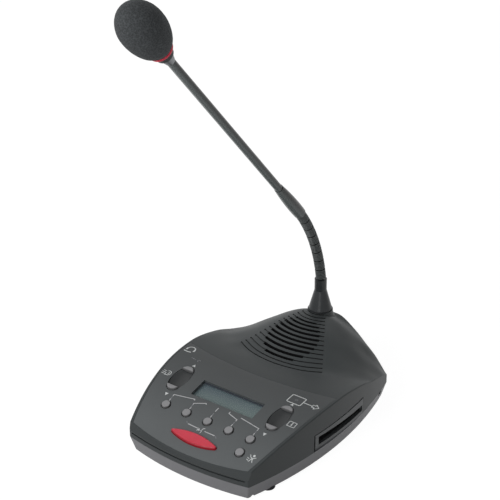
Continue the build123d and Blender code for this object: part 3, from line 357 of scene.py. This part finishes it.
def red_lens(name, colour, glow, roughness=0.32, edge=None):
    """A clear plastic that can glow. Its steep edge can have a deeper colour as painted shade."""
    finish = Finish(name)
    cloud = finish.noise(size=9.0)
    base = finish.shades(cloud, colour, low=0.9, high=1.1)
    # Painted shade: the steep edge takes the deeper colour.
    if edge:
        base = finish.blend(finish.facing_up(*LENS_SHADE_SLOPES), edge, base)
    fine = finish.noise(size=0.25)
    return finish.surface(Base_Color=base, Roughness=cloud * 0.08 + (roughness - 0.04),
                          Subsurface_Weight=0.25, Subsurface_Scale=0.002,
                          Specular_IOR_Level=0.3, Coat_Weight=0.1, Coat_Roughness=0.3,
                          Emission_Color=colour, Emission_Strength=glow,
                          Normal=finish.bump(fine, depth=0.005))


# The talk key's faint glow is a painted sheen, and its edge colour is painted shade.
talk_red = red_lens("talk_lens", linear(214, 48, 72), glow=0.07, edge=linear(156, 12, 30))
ring_red = red_lens("ring_lens", linear(200, 22, 56), glow=0.15, roughness=0.25)
led_clear = red_lens("led_lens", linear(190, 185, 180), glow=0.0)
print("clear plastics:", talk_red.name, ring_red.name, led_clear.name)

# %% [markdown]
# The neck's cone, sleeve and tube are painted metal. Clouds and specks in the roughness keep
# the long highlights lively, and the tube's lower side gets painted light, paler where the
# white table shines on it. The short cone below the microphone is bare, bead-blasted aluminium.


# %% Metals
TABLE_LIGHT_SLOPES = (0.1, -0.45)


def painted(name, colour, roughness, table_light=None):
    """Satin paint. Its lower sides can get painted light, paler as where a white table shines on
    them.
    """
    finish = Finish(name)
    cloud = finish.noise(size=12.0, detail=3.0)
    speck = finish.noise(size=0.3)
    base = finish.shades(cloud, colour, low=0.88, high=1.12)
    # Painted light: faces turned down take the paler colour of the table's light.
    if table_light:
        base = finish.blend(finish.facing_up(*TABLE_LIGHT_SLOPES), base, table_light)
    rough = cloud * 0.12 + speck * 0.06 + (roughness - 0.09)
    return finish.surface(Base_Color=base, Roughness=rough, Specular_IOR_Level=0.25,
                          Coat_Weight=0.05, Coat_Roughness=0.25,
                          Normal=finish.bump(speck, depth=0.006))


def bare_metal(name, colour, roughness, streak=0.3):
    finish = Finish(name)
    cloud = finish.noise(size=4.0, detail=3.0)
    lines = finish.noise(size=streak, detail=4.0, roughness=0.7)
    base = finish.shades(cloud, colour, low=0.85, high=1.08)
    return finish.surface(Base_Color=base, Metallic=1.0, Roughness=lines * 0.2 + (roughness - 0.1),
                          Normal=finish.bump(lines, depth=0.006))


neck_dark = painted("neck_paint", linear(46, 49, 51), roughness=0.3)
# The tube's lower side gets painted light from the white table.
tube_dark = painted("tube_paint", linear(38, 41, 41), roughness=0.28, table_light=linear(112, 118, 118))
cone_grey = bare_metal("cone_blasted", linear(118, 120, 122), roughness=0.42, streak=0.25)
steel = bare_metal("screw_steel", linear(190, 190, 192), roughness=0.3)
magnet_dark = painted("magnet_black", linear(50, 50, 52), roughness=0.5)
print("metals:", neck_dark.name, tube_dark.name, cone_grey.name, steel.name, magnet_dark.name)

# %% [markdown]
# The neck's links get painted shade, near black, between their ribs, and a painted highlight on
# them. A link has its own axis, so each gets its own finish, which tells rib from groove by the
# distance to that axis.

# %% Ribbed links
LINK_COUNT = 8
LINK_LENGTH = 9.35
FIRST_JOINT = (NECK_Y, 91.4)
FIRST_LEAN = 11.0
LINK_TURN = 3.785
RIB_START = 3.72
RIB_RISE = 0.26


def ribbed_link(name, joint, lean):
    """A finish for a link that starts at a joint (y, z in millimetres) and leans by an angle."""
    finish = Finish(name)
    x, y, z = finish.axes()
    across = (y - joint[0] * MM) * math.cos(lean) + (z - joint[1] * MM) * math.sin(lean)
    radius = (x * x + across * across).math("SQRT")
    # Painted shade in the grooves and a painted highlight on the ribs, by the distance to the axis.
    crest = ((radius - RIB_START * MM) / (RIB_RISE * MM)).limited()
    # The painted highlight on the ribs is brighter in some patches than in others.
    highlight_patches = finish.noise(size=6.0)
    light = finish.blend(highlight_patches, linear(74, 79, 79), linear(96, 101, 101))
    speck = finish.noise(size=0.3)
    return finish.surface(Base_Color=finish.blend(crest, linear(26, 28, 28), light),
                          Roughness=speck * 0.1 + 0.3, Specular_IOR_Level=0.3,
                          Normal=finish.bump(speck, depth=0.006))


link_finishes = []
link_y, link_z = FIRST_JOINT
for number in range(LINK_COUNT):
    angle = math.radians(FIRST_LEAN + LINK_TURN * number)
    link_finishes.append(ribbed_link(f"link_paint_{number + 1}", (link_y, link_z), angle))
    link_y -= LINK_LENGTH * math.sin(angle)
    link_z += LINK_LENGTH * math.cos(angle)
print("neck ends at", round(link_y, 3), round(link_z, 3))

# %% [markdown]
# Rubber feet and gasket are dull, the cloth behind the slots is nearly black with a fine weave,
# the loudspeaker's cone is rough paper, and the circuit boards are green with a slight gloss.


# %% Rubber, cloth, paper and boards
def woven_cloth(name, colour, pitch):
    finish = Finish(name)
    x, y, _ = finish.axes()
    across = (x * (math.tau / (pitch * MM))).math("SINE")
    along = (y * (math.tau / (pitch * MM))).math("SINE")
    weave = (across * along) * 0.5 + 0.5
    base = finish.shades(weave, colour, low=0.5, high=1.4)
    return finish.surface(Base_Color=base, Roughness=0.9, Specular_IOR_Level=0.05,
                          Normal=finish.bump(weave, depth=0.05))


rubber_black = moulded("rubber_dull", linear(38, 38, 40), roughness=0.8, grain=0.6, depth=0.03)
cloth_black = woven_cloth("slot_cloth_weave", CLOTH_AND_SHADE_BLACK, pitch=0.6)
paper_grey = moulded("speaker_paper", linear(70, 70, 72), roughness=0.8, grain=0.8, depth=0.05)
board_green = moulded("board_mask", linear(30, 88, 52), roughness=0.35, grain=1.2, depth=0.02)
print("dull finishes:", rubber_black.name, cloth_black.name, paper_grey.name, board_green.name)

# %% [markdown]
# The display is off. Its glass is a dull blue green. Painted light makes it lighter towards the
# user and to the right, and a painted shadow lies along the sunken back edge. A thin clear
# cover with a few smudges lies over it.


# %% Display
# The glass's blue green, lit at the front and shaded at the back, and the painted shadow's colour.
LCD_FRONT_LIT = linear(118, 138, 133)
LCD_BACK_SHADED = linear(44, 68, 82)
LCD_EDGE_SHADOW = linear(28, 32, 48)
BACK_WEIGHT = 0.72
LEFT_WEIGHT = 0.28
SHADOW_FROM = 0.84
SHADOW_RAMP = 14.0
COVER_ALPHA = 0.12


def display_finish(name):
    finish = Finish(name)
    x, y, _ = finish.axes()
    low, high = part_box("lcd_glass")
    along = ((y - low.y) / (high.y - low.y)).limited()
    across = ((x - low.x) / (high.x - low.x)).limited()
    # Painted light and shade: lighter towards the front and right, darker to the back and left.
    shade = (along * BACK_WEIGHT + (1 - across) * LEFT_WEIGHT).limited()
    lit = finish.blend(shade, LCD_FRONT_LIT, LCD_BACK_SHADED)
    # Painted shadow along the sunken back edge.
    edge_shade = ((along - SHADOW_FROM) * SHADOW_RAMP).limited()
    cloud = finish.noise(size=8.0)
    return finish.surface(Base_Color=finish.blend(edge_shade, lit, LCD_EDGE_SHADOW),
                          Roughness=cloud * 0.1 + 0.25, Specular_IOR_Level=0.3,
                          Coat_Weight=0.1, Coat_Roughness=0.08)


def clear_cover(name):
    """A clear sheet whose front faces are faintly seen and whose back faces aren't."""
    finish = Finish(name)
    smudge = finish.noise(size=14.0, detail=3.0)
    inside = finish.node("NewGeometry", out="Backfacing")
    return finish.surface(Base_Color=(0.5, 0.58, 0.62, 1.0), Roughness=smudge * 0.08 + 0.04,
                          Alpha=(1 - inside) * COVER_ALPHA, IOR=1.45)


lcd_green = display_finish("display_cells")
window_clear = clear_cover("display_cover")
window_clear.blend_method = "BLEND"
print("display finishes:", lcd_green.name, window_clear.name)

# %% [markdown]
# Each node of the imported model that the table lists now gets its finish. The objects come in
# with one material slot each, so the new material simply takes the first slot's place.

# %% Finishes on the imported parts
SOFT_KEY_COUNT = 5
FINISHES = {
    "upper_shell": shell_dark, "base_shell": shell_grey, "control_panel": panel_grey,
    "display_window": window_clear, "lcd_glass": lcd_green, "lcd_back": inner_black,
    "talk_button": talk_red, "talk_leds": led_clear, "help_key": key_grey,
    "volume_down_key": key_grey, "volume_up_key": key_grey, "channel_down_key": key_grey,
    "channel_up_key": key_grey, "dish_left": dish_shaded, "dish_right": dish_shaded,
    "key_board": board_green, "key_switches": inner_black, "board_screws": steel,
    "card_bezel": bezel_dark, "card_reader": inner_black, "reader_brackets": steel,
    "slot_cloth": cloth_black, "speaker_basket": steel, "speaker_magnet": magnet_dark,
    "speaker_cone": paper_grey, "speaker_retainer": inner_black, "speaker_screws": steel,
    "headphone_socket": inner_black, "bus_socket_left": inner_black,
    "bus_socket_right": inner_black,
    "main_board": board_green, "board_chips": inner_black, "main_screws": steel,
    "ballast_plate": steel, "feet": rubber_black, "housing_screws": steel,
    "neck_gasket": rubber_black, "neck_collar": neck_dark, "neck_nut": steel,
    "neck_sleeve": tube_dark, "upper_tube": tube_dark, "head_cone": cone_grey,
    "head_collar": neck_dark, "light_ring": ring_red, "mic_capsule": inner_black,
}
for number in range(1, SOFT_KEY_COUNT + 1):
    FINISHES[f"soft_key_{number}"] = key_grey
for number, link_finish in enumerate(link_finishes, start=1):
    FINISHES[f"neck_link_{number}"] = link_finish
for node_name, finish_material in FINISHES.items():
    mesh = nodes[node_name].data
    if mesh.materials:
        mesh.materials[0] = finish_material
    else:
        mesh.materials.append(finish_material)
print("finished nodes:", len(FINISHES), "of", len(nodes))

# %% [markdown]
# New pieces are built with bmesh. A piece is ready when its mesh has its place in it, its
# object sits at the origin, and it rides on the body that carries it. This helper does those
# last steps alike for all of them.


# %% One way to finish a piece
def add_piece(name, mesh_data, material, body, smooth=True):
    bmesh.ops.recalc_face_normals(mesh_data, faces=mesh_data.faces)
    mesh = bpy.data.meshes.new(name)
    mesh_data.to_mesh(mesh)
    mesh_data.free()
    if smooth:
        mesh.shade_smooth()
    mesh.materials.append(material)
    piece = bpy.data.objects.new(name, mesh)
    bpy.context.scene.collection.objects.link(piece)
    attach(piece, body)
    return piece


# %% [markdown]
# The foam windshield is a moulded egg, slim at the ring and fullest towards its tip. One side
# of it is drawn as a profile and spun about the microphone's axis. Its heights count from the
# ring's top, which lies 236 mm up the tube from the neck's last joint. The neck leans forward,
# so the egg is made upright at the origin first and then turned and moved onto the ring.

# %% The foam's measures
HEAD_JOINT = Vector((0.0, 72.901, 158.822))
HEAD_LEAN = math.radians(41.28)
RING_TOP = 236.15
CAPSULE_RADIUS = 5.0
CAPSULE_LENGTH = 30.0
FOAM_FOOT_RADIUS = 8.2
FOAM_RADIUS = 15.7
FOAM_WIDEST = 23.9
FOAM_TIP = 22.0
FOAM_GAP = 0.3
BORE_MOUTH = 0.8
FOOT_BEVEL = 0.5
FIRST_ROW = 0.15
FOAM_ROWS = 60
ROW_CURVE = 1.2
head_place = Matrix.Translation(HEAD_JOINT * MM) @ Matrix.Rotation(HEAD_LEAN, 4, "X")


def foam_radius_at(height):
    """The foam's radius at a height above the ring."""
    if height >= FOAM_WIDEST:
        rise = min((height - FOAM_WIDEST) / FOAM_TIP, 1.0)
        return FOAM_RADIUS * math.sqrt(1 - rise * rise)
    lower_axis = FOAM_WIDEST / math.sqrt(1 - (FOAM_FOOT_RADIUS / FOAM_RADIUS) ** 2)
    return FOAM_RADIUS * math.sqrt(1 - ((FOAM_WIDEST - height) / lower_axis) ** 2)


def foam_profile():
    """(radius, height) points from the bore's end, round the foot and up to the tip."""
    bore = CAPSULE_RADIUS + FOAM_GAP
    bore_end = CAPSULE_LENGTH + FOAM_GAP
    tall = FOAM_WIDEST + FOAM_TIP
    points = [(0.0, bore_end), (bore, bore_end), (bore, BORE_MOUTH),
              (FOAM_FOOT_RADIUS - FOOT_BEVEL, 0.0)]
    for row in range(FOAM_ROWS - 1):
        share = math.sin(math.pi / 2 * row / (FOAM_ROWS - 1)) ** ROW_CURVE
        height = FIRST_ROW + (tall - FIRST_ROW) * share
        points.append((foam_radius_at(height), height))
    return points + [(0.0, tall)]


print("foam profile points:", len(foam_profile()))

# %% [markdown]
# The foam has open cells about a millimetre wide. Its outline is nearly smooth, so the mesh
# only gets a very small relief of fine and broad lumps, and the shader draws the cells: painted
# shade darkens the pores between lighter walls.


# %% Foam
CELL_SIZE = 1.0
FOAM_STEPS = 144
WELD = 0.002
RELIEF_START = 6.0
RELIEF = ((900, 0.06), (120, 0.12))


def open_foam(name, colour):
    finish = Finish(name)
    cells = finish.node("TexVoronoi", Vector=finish.place, Scale=1 / (CELL_SIZE * MM))
    small = finish.noise(size=0.45, detail=3.0, roughness=0.65)
    wide = finish.noise(size=5.0)
    # Painted shade in the pores, with lighter cell walls between.
    pore_shade = (cells * 0.9 + small * 0.9 - 0.55).limited()
    base = finish.shades(pore_shade, colour, low=0.4, high=2.1)
    relief = finish.bump(cells * 0.6 + small * 0.8, depth=0.22)
    return finish.surface(Base_Color=finish.blend(wide * 0.25, base, scaled(colour, 0.8)),
                          Roughness=0.95, Normal=relief)


def spin_profile(points, steps):
    """Turns (radius, height) points in millimetres about Z; ends on the axis close to one point."""
    shape = bmesh.new()
    row = [shape.verts.new((radius * MM, 0, height * MM)) for radius, height in points]
    edges = [shape.edges.new(pair) for pair in zip(row, row[1:])]
    bmesh.ops.spin(shape, geom=row + edges, cent=(0, 0, 0), axis=(0, 0, 1), angle=math.tau,
                   steps=steps, use_merge=True, use_duplicate=False)
    bmesh.ops.remove_doubles(shape, verts=shape.verts, dist=WELD * MM)
    return shape


def make_windshield():
    lifted = [(radius, RING_TOP + height) for radius, height in foam_profile()]
    shape = spin_profile(lifted, FOAM_STEPS)
    for vert in shape.verts:
        offset = Vector((vert.co.x, vert.co.y, 0))
        if offset.length > RELIEF_START * MM:
            lump = sum(noise.noise(vert.co * rate) * depth for rate, depth in RELIEF)
            vert.co += offset.normalized() * lump * MM
    bmesh.ops.transform(shape, matrix=head_place, verts=shape.verts)
    print("foam faces:", len(shape.faces))
    return add_piece("foam_windshield", shape, foam_grey, "mic_arm")


foam_grey = open_foam("foam_cells", linear(66, 69, 71))
windshield = make_windshield()
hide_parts("windshield")

# %% [markdown]
# The panel carries printed signs and thin leader lines. Each sign is put together from bars,
# arcs, discs and triangles that lie flat, and is then lifted onto the panel's long curve as a
# thin film. Bars come in short pieces, so that they can follow the curve. Every part of a sign
# lies a hair higher than the one before, so no two faces share a plane.

# %% Drawing tools for signs
ARC_RADIUS = 193.0
CROWN_Y = 20.369
CROWN_Z = 46.2
FRONT_LINE_Y = -66.631
PRINT_LIFT = 0.02
PRINT_STEP = 0.0015
PRINT_THICKNESS = 0.012
BAR_PIECES = 8
BAR_OVERLAP = 0.6
ARC_STEP = 12
ARC_LEAST_STEPS = 6


def panel_height(y):
    """The panel's height: a long arc that is highest at the crown."""
    return CROWN_Z - ARC_RADIUS + math.sqrt(ARC_RADIUS ** 2 - (y - CROWN_Y) ** 2)


class Sign:
    """A flat drawing in millimetres; y counts from the casing's front corners."""

    def __init__(self):
        self.shape = bmesh.new()
        self.layer = 0

    def raise_last(self, verts):
        self.layer += 1
        for vert in verts:
            vert.co.z += self.layer * PRINT_STEP

    def bar(self, start, end, width):
        start, end = Vector(start), Vector(end)
        middle = (start + end) / 2
        run = end - start
        turn = math.atan2(run.y, run.x)
        place = (Matrix.Translation((middle.x, middle.y, 0)) @ Matrix.Rotation(turn, 4, "Z")
                 @ Matrix.Diagonal((run.length + width * BAR_OVERLAP, width, 1, 1)))
        made = bmesh.ops.create_grid(self.shape, x_segments=BAR_PIECES, y_segments=1, size=0.5,
                                     matrix=place)
        self.raise_last(made["verts"])

    def line(self, points, width):
        for start, end in zip(points, points[1:]):
            self.bar(start, end, width)

    def arc(self, centre, radius, width, start, sweep):
        x, y = centre
        turn = math.radians(start)
        ends = [self.shape.verts.new((x + r * math.cos(turn), y + r * math.sin(turn), 0))
                for r in (radius - width / 2, radius + width / 2)]
        edge = self.shape.edges.new(ends)
        before = set(self.shape.verts)
        steps = max(ARC_LEAST_STEPS, int(abs(sweep) / ARC_STEP))
        bmesh.ops.spin(self.shape, geom=ends + [edge], cent=(x, y, 0), axis=(0, 0, 1),
                       angle=math.radians(sweep), steps=steps)
        made = [vert for vert in self.shape.verts if vert not in before] + ends
        self.raise_last(made)

    def disc(self, centre, radius, corners=20, turn=0.0):
        """A disc, or with three corners a triangle that points away from the user at turn 0."""
        place = (Matrix.Translation((centre[0], centre[1], 0))
                 @ Matrix.Rotation(math.radians(turn), 4, "Z"))
        made = bmesh.ops.create_circle(self.shape, cap_ends=True, segments=corners, radius=radius,
                                       matrix=place)
        self.raise_last(made["verts"])

    def box(self, centre, width, height, stroke, corner):
        x, y = centre
        a, b = width / 2, height / 2
        for up in (-1, 1):
            self.bar((x - a + corner, y + up * b), (x + a - corner, y + up * b), stroke)
        for side in (-1, 1):
            self.bar((x + side * a, y - b + corner), (x + side * a, y + b - corner), stroke)
        for sx, sy, start in ((1, 1, 0), (-1, 1, 90), (-1, -1, 180), (1, -1, 270)):
            self.arc((x + sx * (a - corner), y + sy * (b - corner)), corner, stroke, start, 90)

    def place_on_panel(self):
        for vert in self.shape.verts:
            y = vert.co.y + FRONT_LINE_Y
            vert.co = Vector((vert.co.x, y, panel_height(y) + PRINT_LIFT + vert.co.z)) * MM
        bmesh.ops.solidify(self.shape, geom=self.shape.faces[:], thickness=-PRINT_THICKNESS * MM)


# %% [markdown]
# The prints are screen-printed ink, slightly raised, matt and not quite pure white. The leader
# lines are a little softer, and the inactive legends are printed in a grey that almost melts
# into the panel.


# %% Print inks
def ink(name, colour):
    finish = Finish(name)
    fleck = finish.noise(size=0.35, detail=3.0)
    base = finish.shades(fleck, colour, low=0.93, high=1.05)
    return finish.surface(Base_Color=base, Roughness=fleck * 0.1 + 0.5)


white_ink = ink("white_print", linear(228, 231, 231))
soft_ink = ink("soft_print", linear(208, 209, 211))
dim_ink = ink("dim_print", linear(128, 129, 134))

# %% [markdown]
# Signs for the headphones and for listening stand at the left edge, those for the card and for
# information at the right. Small triangles before and behind the two oval openings mark down
# and up.


# %% White signs
def white_signs():
    sign = Sign()
    sign.arc((-60.9, 83.0), 3.3, 0.95, -18, 216)
    sign.bar((-64.3, 83.2), (-64.3, 81.6), 1.5)
    sign.bar((-57.5, 83.2), (-57.5, 81.6), 1.5)
    sign.line([(-64.9, 79.4), (-61.2, 79.0), (-58.9, 79.5)], 1.0)
    for side in (-1, 1):
        sign.disc((side * 45.3, 66.6), 1.75, 3, 0)
        sign.disc((side * 45.1, 32.6), 1.75, 3, 180)
    for index in range(3):
        sign.bar((-62.4 - 0.2 * index, 51.9 - 1.6 * index), (-60.2, 51.9 - 1.6 * index), 0.5)
    sign.arc((-57.6, 50.5), 2.3, 0.55, -80, 200)
    sign.line([(-57.2, 48.2), (-59.4, 48.1), (-59.5, 50.2)], 0.55)
    sign.arc((-57.7, 50.4), 1.0, 0.5, -90, 180)
    sign.box((44.9, 73.0), 11.9, 9.1, 0.75, 1.0)
    sign.bar((51.3, 73.1), (58.6, 73.0), 0.7)
    sign.line([(58.8, 74.5), (61.1, 74.5), (61.1, 75.9), (64.3, 73.2), (61.1, 70.5), (61.1, 71.9),
               (58.8, 71.9), (58.8, 74.5)], 0.65)
    sign.box((57.5, 49.0), 6.2, 4.7, 0.5, 0.2)
    sign.bar((57.5, 47.9), (57.5, 49.4), 0.95)
    sign.disc((57.5, 50.4), 0.5)
    return sign


def help_sign():
    sign = Sign()
    sign.disc((49.7, 13.9), 0.95)
    sign.line([(46.6, 13.8), (47.7, 12.3), (48.9, 11.9), (50.2, 11.8), (51.9, 13.0)], 0.5)
    sign.line([(48.9, 12.0), (48.8, 10.2), (48.0, 8.7)], 0.55)
    sign.line([(50.1, 11.9), (50.2, 10.1), (51.1, 8.8)], 0.55)
    sign.line([(48.9, 10.8), (50.2, 10.8)], 0.5)
    sign.line([(45.8, 11.2), (47.5, 10.6)], 0.45)
    sign.line([(45.9, 9.7), (47.3, 9.3)], 0.45)
    return sign


# %% [markdown]
# Five leader lines join the display to the keys below it, and each ends in a short tick above
# its key. The one from the talk sign runs to both sides. Parts of the leaders are printed in
# the dim ink.


# %% Leader lines
def leader_lines():
    sign = Sign()
    sign.line([(-21.4, 36.5), (-22.0, 37.3), (-39.1, 34.3), (-39.0, 32.9)], 0.6)
    sign.line([(-10.9, 36.9), (-11.5, 37.7), (-20.0, 33.8), (-19.9, 32.6)], 0.6)
    sign.line([(-0.4, 37.9), (-0.5, 34.4)], 0.6)
    sign.line([(9.8, 38.6), (9.9, 37.1), (18.9, 34.7), (18.8, 33.4)], 0.6)
    sign.line([(20.8, 37.4), (38.4, 34.8), (38.3, 33.0)], 0.6)
    for x in (-38.9, -19.6, -0.5, 18.5, 38.2):
        sign.bar((x, 29.8), (x, 28.2), 0.65)
    return sign


def talk_sign():
    sign = Sign()
    sign.bar((-12.3, 16.9), (-3.6, 16.6), 0.6)
    sign.bar((3.4, 16.3), (12.2, 16.2), 0.6)
    sign.disc((-1.7, 15.8), 1.3, 3, 0)
    sign.line([(-2.8, 14.6), (-2.8, 17.0)], 0.45)
    sign.line([(2.2, 18.3), (0.9, 18.1), (0.9, 16.9), (0.2, 15.8), (1.1, 15.3), (0.7, 13.9)], 0.55)
    return sign


def dim_signs():
    sign = Sign()
    for x in (-39.0, -19.8, -0.5, 18.6, 38.2):
        sign.bar((x, 32.4), (x, 30.2), 0.6)
    sign.bar((-14.6, 18.3), (-13.4, 17.2), 0.6)
    sign.bar((13.4, 16.0), (14.8, 14.9), 0.6)
    sign.disc((-53.3, 74.3), 0.45)
    sign.disc((-51.4, 73.9), 0.65)
    sign.bar((-50.4, 73.7), (-49.2, 73.6), 0.45)
    sign.arc((-45.9, 73.4), 1.1, 0.55, 30, 250)
    sign.box((44.9, 73.0), 2.0, 1.3, 0.35, 0.1)
    return sign


def print_sign(name, sign, material):
    sign.place_on_panel()
    print(name, "faces:", len(sign.shape.faces))
    return add_piece(name, sign.shape, material, "housing", smooth=False)


print_sign("print_icons", white_signs(), white_ink)
print_sign("print_help", help_sign(), white_ink)
print_sign("print_leaders", leader_lines(), soft_ink)
print_sign("print_talk", talk_sign(), soft_ink)
print_sign("print_dim", dim_signs(), dim_ink)

# %% [markdown]
# Two kinds of small metal parts sit in the sockets, where only a look from behind or from the
# left finds them: eight sprung contacts in each bus socket, and the plated ring round the
# headphone hole.


# %% Contacts and ring
SOCKET_X = 11.5
CONTACT_COUNT = 8
CONTACT_PITCH = 1.02
CONTACT_MIDDLE = (108.2, 16.9)
CONTACT_SIZE = Vector((0.45, 10.4, 0.3))
CONTACT_SLOPE = math.radians(14)
JACK_PLACE = Vector((-69.2, 17.369, 23.0))
RING_SECTION = [(1.85, -0.45), (2.95, -0.45), (2.95, -0.1), (2.75, 0.05), (2.05, 0.05),
                (1.85, -0.15)]
RING_STEPS = 48


def bus_contacts():
    shape = bmesh.new()
    for side in (-1, 1):
        for index in range(CONTACT_COUNT):
            x = side * SOCKET_X + (index - (CONTACT_COUNT - 1) / 2) * CONTACT_PITCH
            place = (Matrix.Translation(Vector((x, *CONTACT_MIDDLE)) * MM)
                     @ Matrix.Rotation(CONTACT_SLOPE, 4, "X")
                     @ Matrix.Diagonal((*(CONTACT_SIZE * MM), 1)))
            bmesh.ops.create_cube(shape, size=1.0, matrix=place)
    return add_piece("bus_contacts", shape, gold, "housing", smooth=False)


def jack_ring():
    shape = bmesh.new()
    row = [shape.verts.new((radius * MM, 0, height * MM)) for radius, height in RING_SECTION]
    edges = [shape.edges.new(pair) for pair in zip(row, row[1:] + row[:1])]
    bmesh.ops.spin(shape, geom=row + edges, cent=(0, 0, 0), axis=(0, 0, 1), angle=math.tau,
                   steps=RING_STEPS, use_merge=True, use_duplicate=False)
    place = Matrix.Translation(JACK_PLACE * MM) @ Matrix.Rotation(math.radians(-90), 4, "Y")
    bmesh.ops.transform(shape, matrix=place, verts=shape.verts)
    return add_piece("jack_ring", shape, steel, "housing")


gold = bare_metal("contact_gold", linear(226, 184, 96), roughness=0.28, streak=0.2)
print("small parts:", bus_contacts().name, jack_ring().name)

# %% [markdown]
# A product photograph is lit by large soft boxes. The main one stands to the left of the camera
# and a little higher. Weaker ones fill from both sides and from behind, and a low one lights
# the front wall and the right one. An even pale sky lights the rest. The table is pale, and
# what the camera sees of it is lifted to white while the contact shadow stays.


# %% Light
LIGHT_TARGET_M = Vector((0, 0, 0.12))
AMBIENT = 0.12


def soft_box(name, azimuth, elevation, distance_m, size_m, power):
    data = bpy.data.lights.new(name, "AREA")
    data.shape = "RECTANGLE"
    data.size, data.size_y = size_m
    data.energy = power
    lamp = bpy.data.objects.new(name, data)
    back = direction(math.radians(azimuth), math.radians(elevation))
    turn = back.to_track_quat("Z", "Y").to_matrix().to_4x4()
    lamp.matrix_world = Matrix.Translation(LIGHT_TARGET_M + back * distance_m) @ turn
    bpy.context.scene.collection.objects.link(lamp)


# name, azimuth and elevation in degrees, distance and size in metres, power in watts
soft_box("main_box", -12, 30, 1.7, (0.9, 0.9), 15)
soft_box("left_box", -95, 52, 1.5, (0.7, 0.9), 2)
soft_box("fill_box", 95, 30, 2.0, (0.8, 1.2), 0.4)
soft_box("low_box", 25, 2, 1.6, (0.6, 0.4), 2.5)
soft_box("back_box", 190, 40, 1.8, (1.0, 0.5), 2)


def seen_by_eye(tree):
    """1 where the camera, a mirror or glass looks, 0 where light is gathered."""
    path = tree.nodes.new("ShaderNodeLightPath")
    camera_ray, glossy, through = [Wire(tree, path.outputs[name]) for name in
                                   ("Is Camera Ray", "Is Glossy Ray", "Is Transmission Ray")]
    return (camera_ray + glossy + through).limited()


def make_world():
    world = bpy.data.worlds.new("studio")
    bpy.context.scene.world = world
    world.use_nodes = True
    tree = world.node_tree
    tree.nodes.clear()
    output = tree.nodes.new("ShaderNodeOutputWorld")
    background = tree.nodes.new("ShaderNodeBackground")
    background.inputs["Color"].default_value = (1, 1, 1, 1)
    strength = seen_by_eye(tree) * (1 - AMBIENT) + AMBIENT
    tree.links.new(strength.socket, background.inputs["Strength"])
    tree.links.new(background.outputs[0], output.inputs[0])


make_world()
print("lights:", len(bpy.data.lights))

# %% [markdown]
# The floor is a wide plane at the height of the feet. Its finish mixes a plain matt white with
# a glow that only the eye sees, so the background is white and a soft shadow is left.


# %% Floor
TABLE_HALF_M = 6.0
TABLE_WHITE = (0.82, 0.82, 0.82, 1.0)
GLOW_SHARE = 0.8
GLOW_STRENGTH = 1.2


def make_floor():
    finish = Finish("pale_table")
    matt = finish.node("BsdfDiffuse", Color=TABLE_WHITE, Roughness=0.5)
    glow = finish.node("Emission", Color=(1, 1, 1, 1), Strength=GLOW_STRENGTH)
    made = finish.tree.nodes.new("ShaderNodeMixShader")
    for value, socket in zip((seen_by_eye(finish.tree) * GLOW_SHARE, matt, glow), made.inputs):
        feed(finish.tree, value, socket)
    finish.tree.links.new(made.outputs[0], finish.output.inputs[0])
    shape = bmesh.new()
    bmesh.ops.create_grid(shape, x_segments=1, y_segments=1, size=TABLE_HALF_M)
    mesh = bpy.data.meshes.new("table_top")
    shape.to_mesh(mesh)
    shape.free()
    mesh.materials.append(finish.material)
    floor = bpy.data.objects.new("table_top", mesh)
    bpy.context.scene.collection.objects.link(floor)


make_floor()

# %% [markdown]
# Last come the colour settings, which stay plain.

# %% Finish
bpy.context.scene.view_settings.view_transform = "Standard"
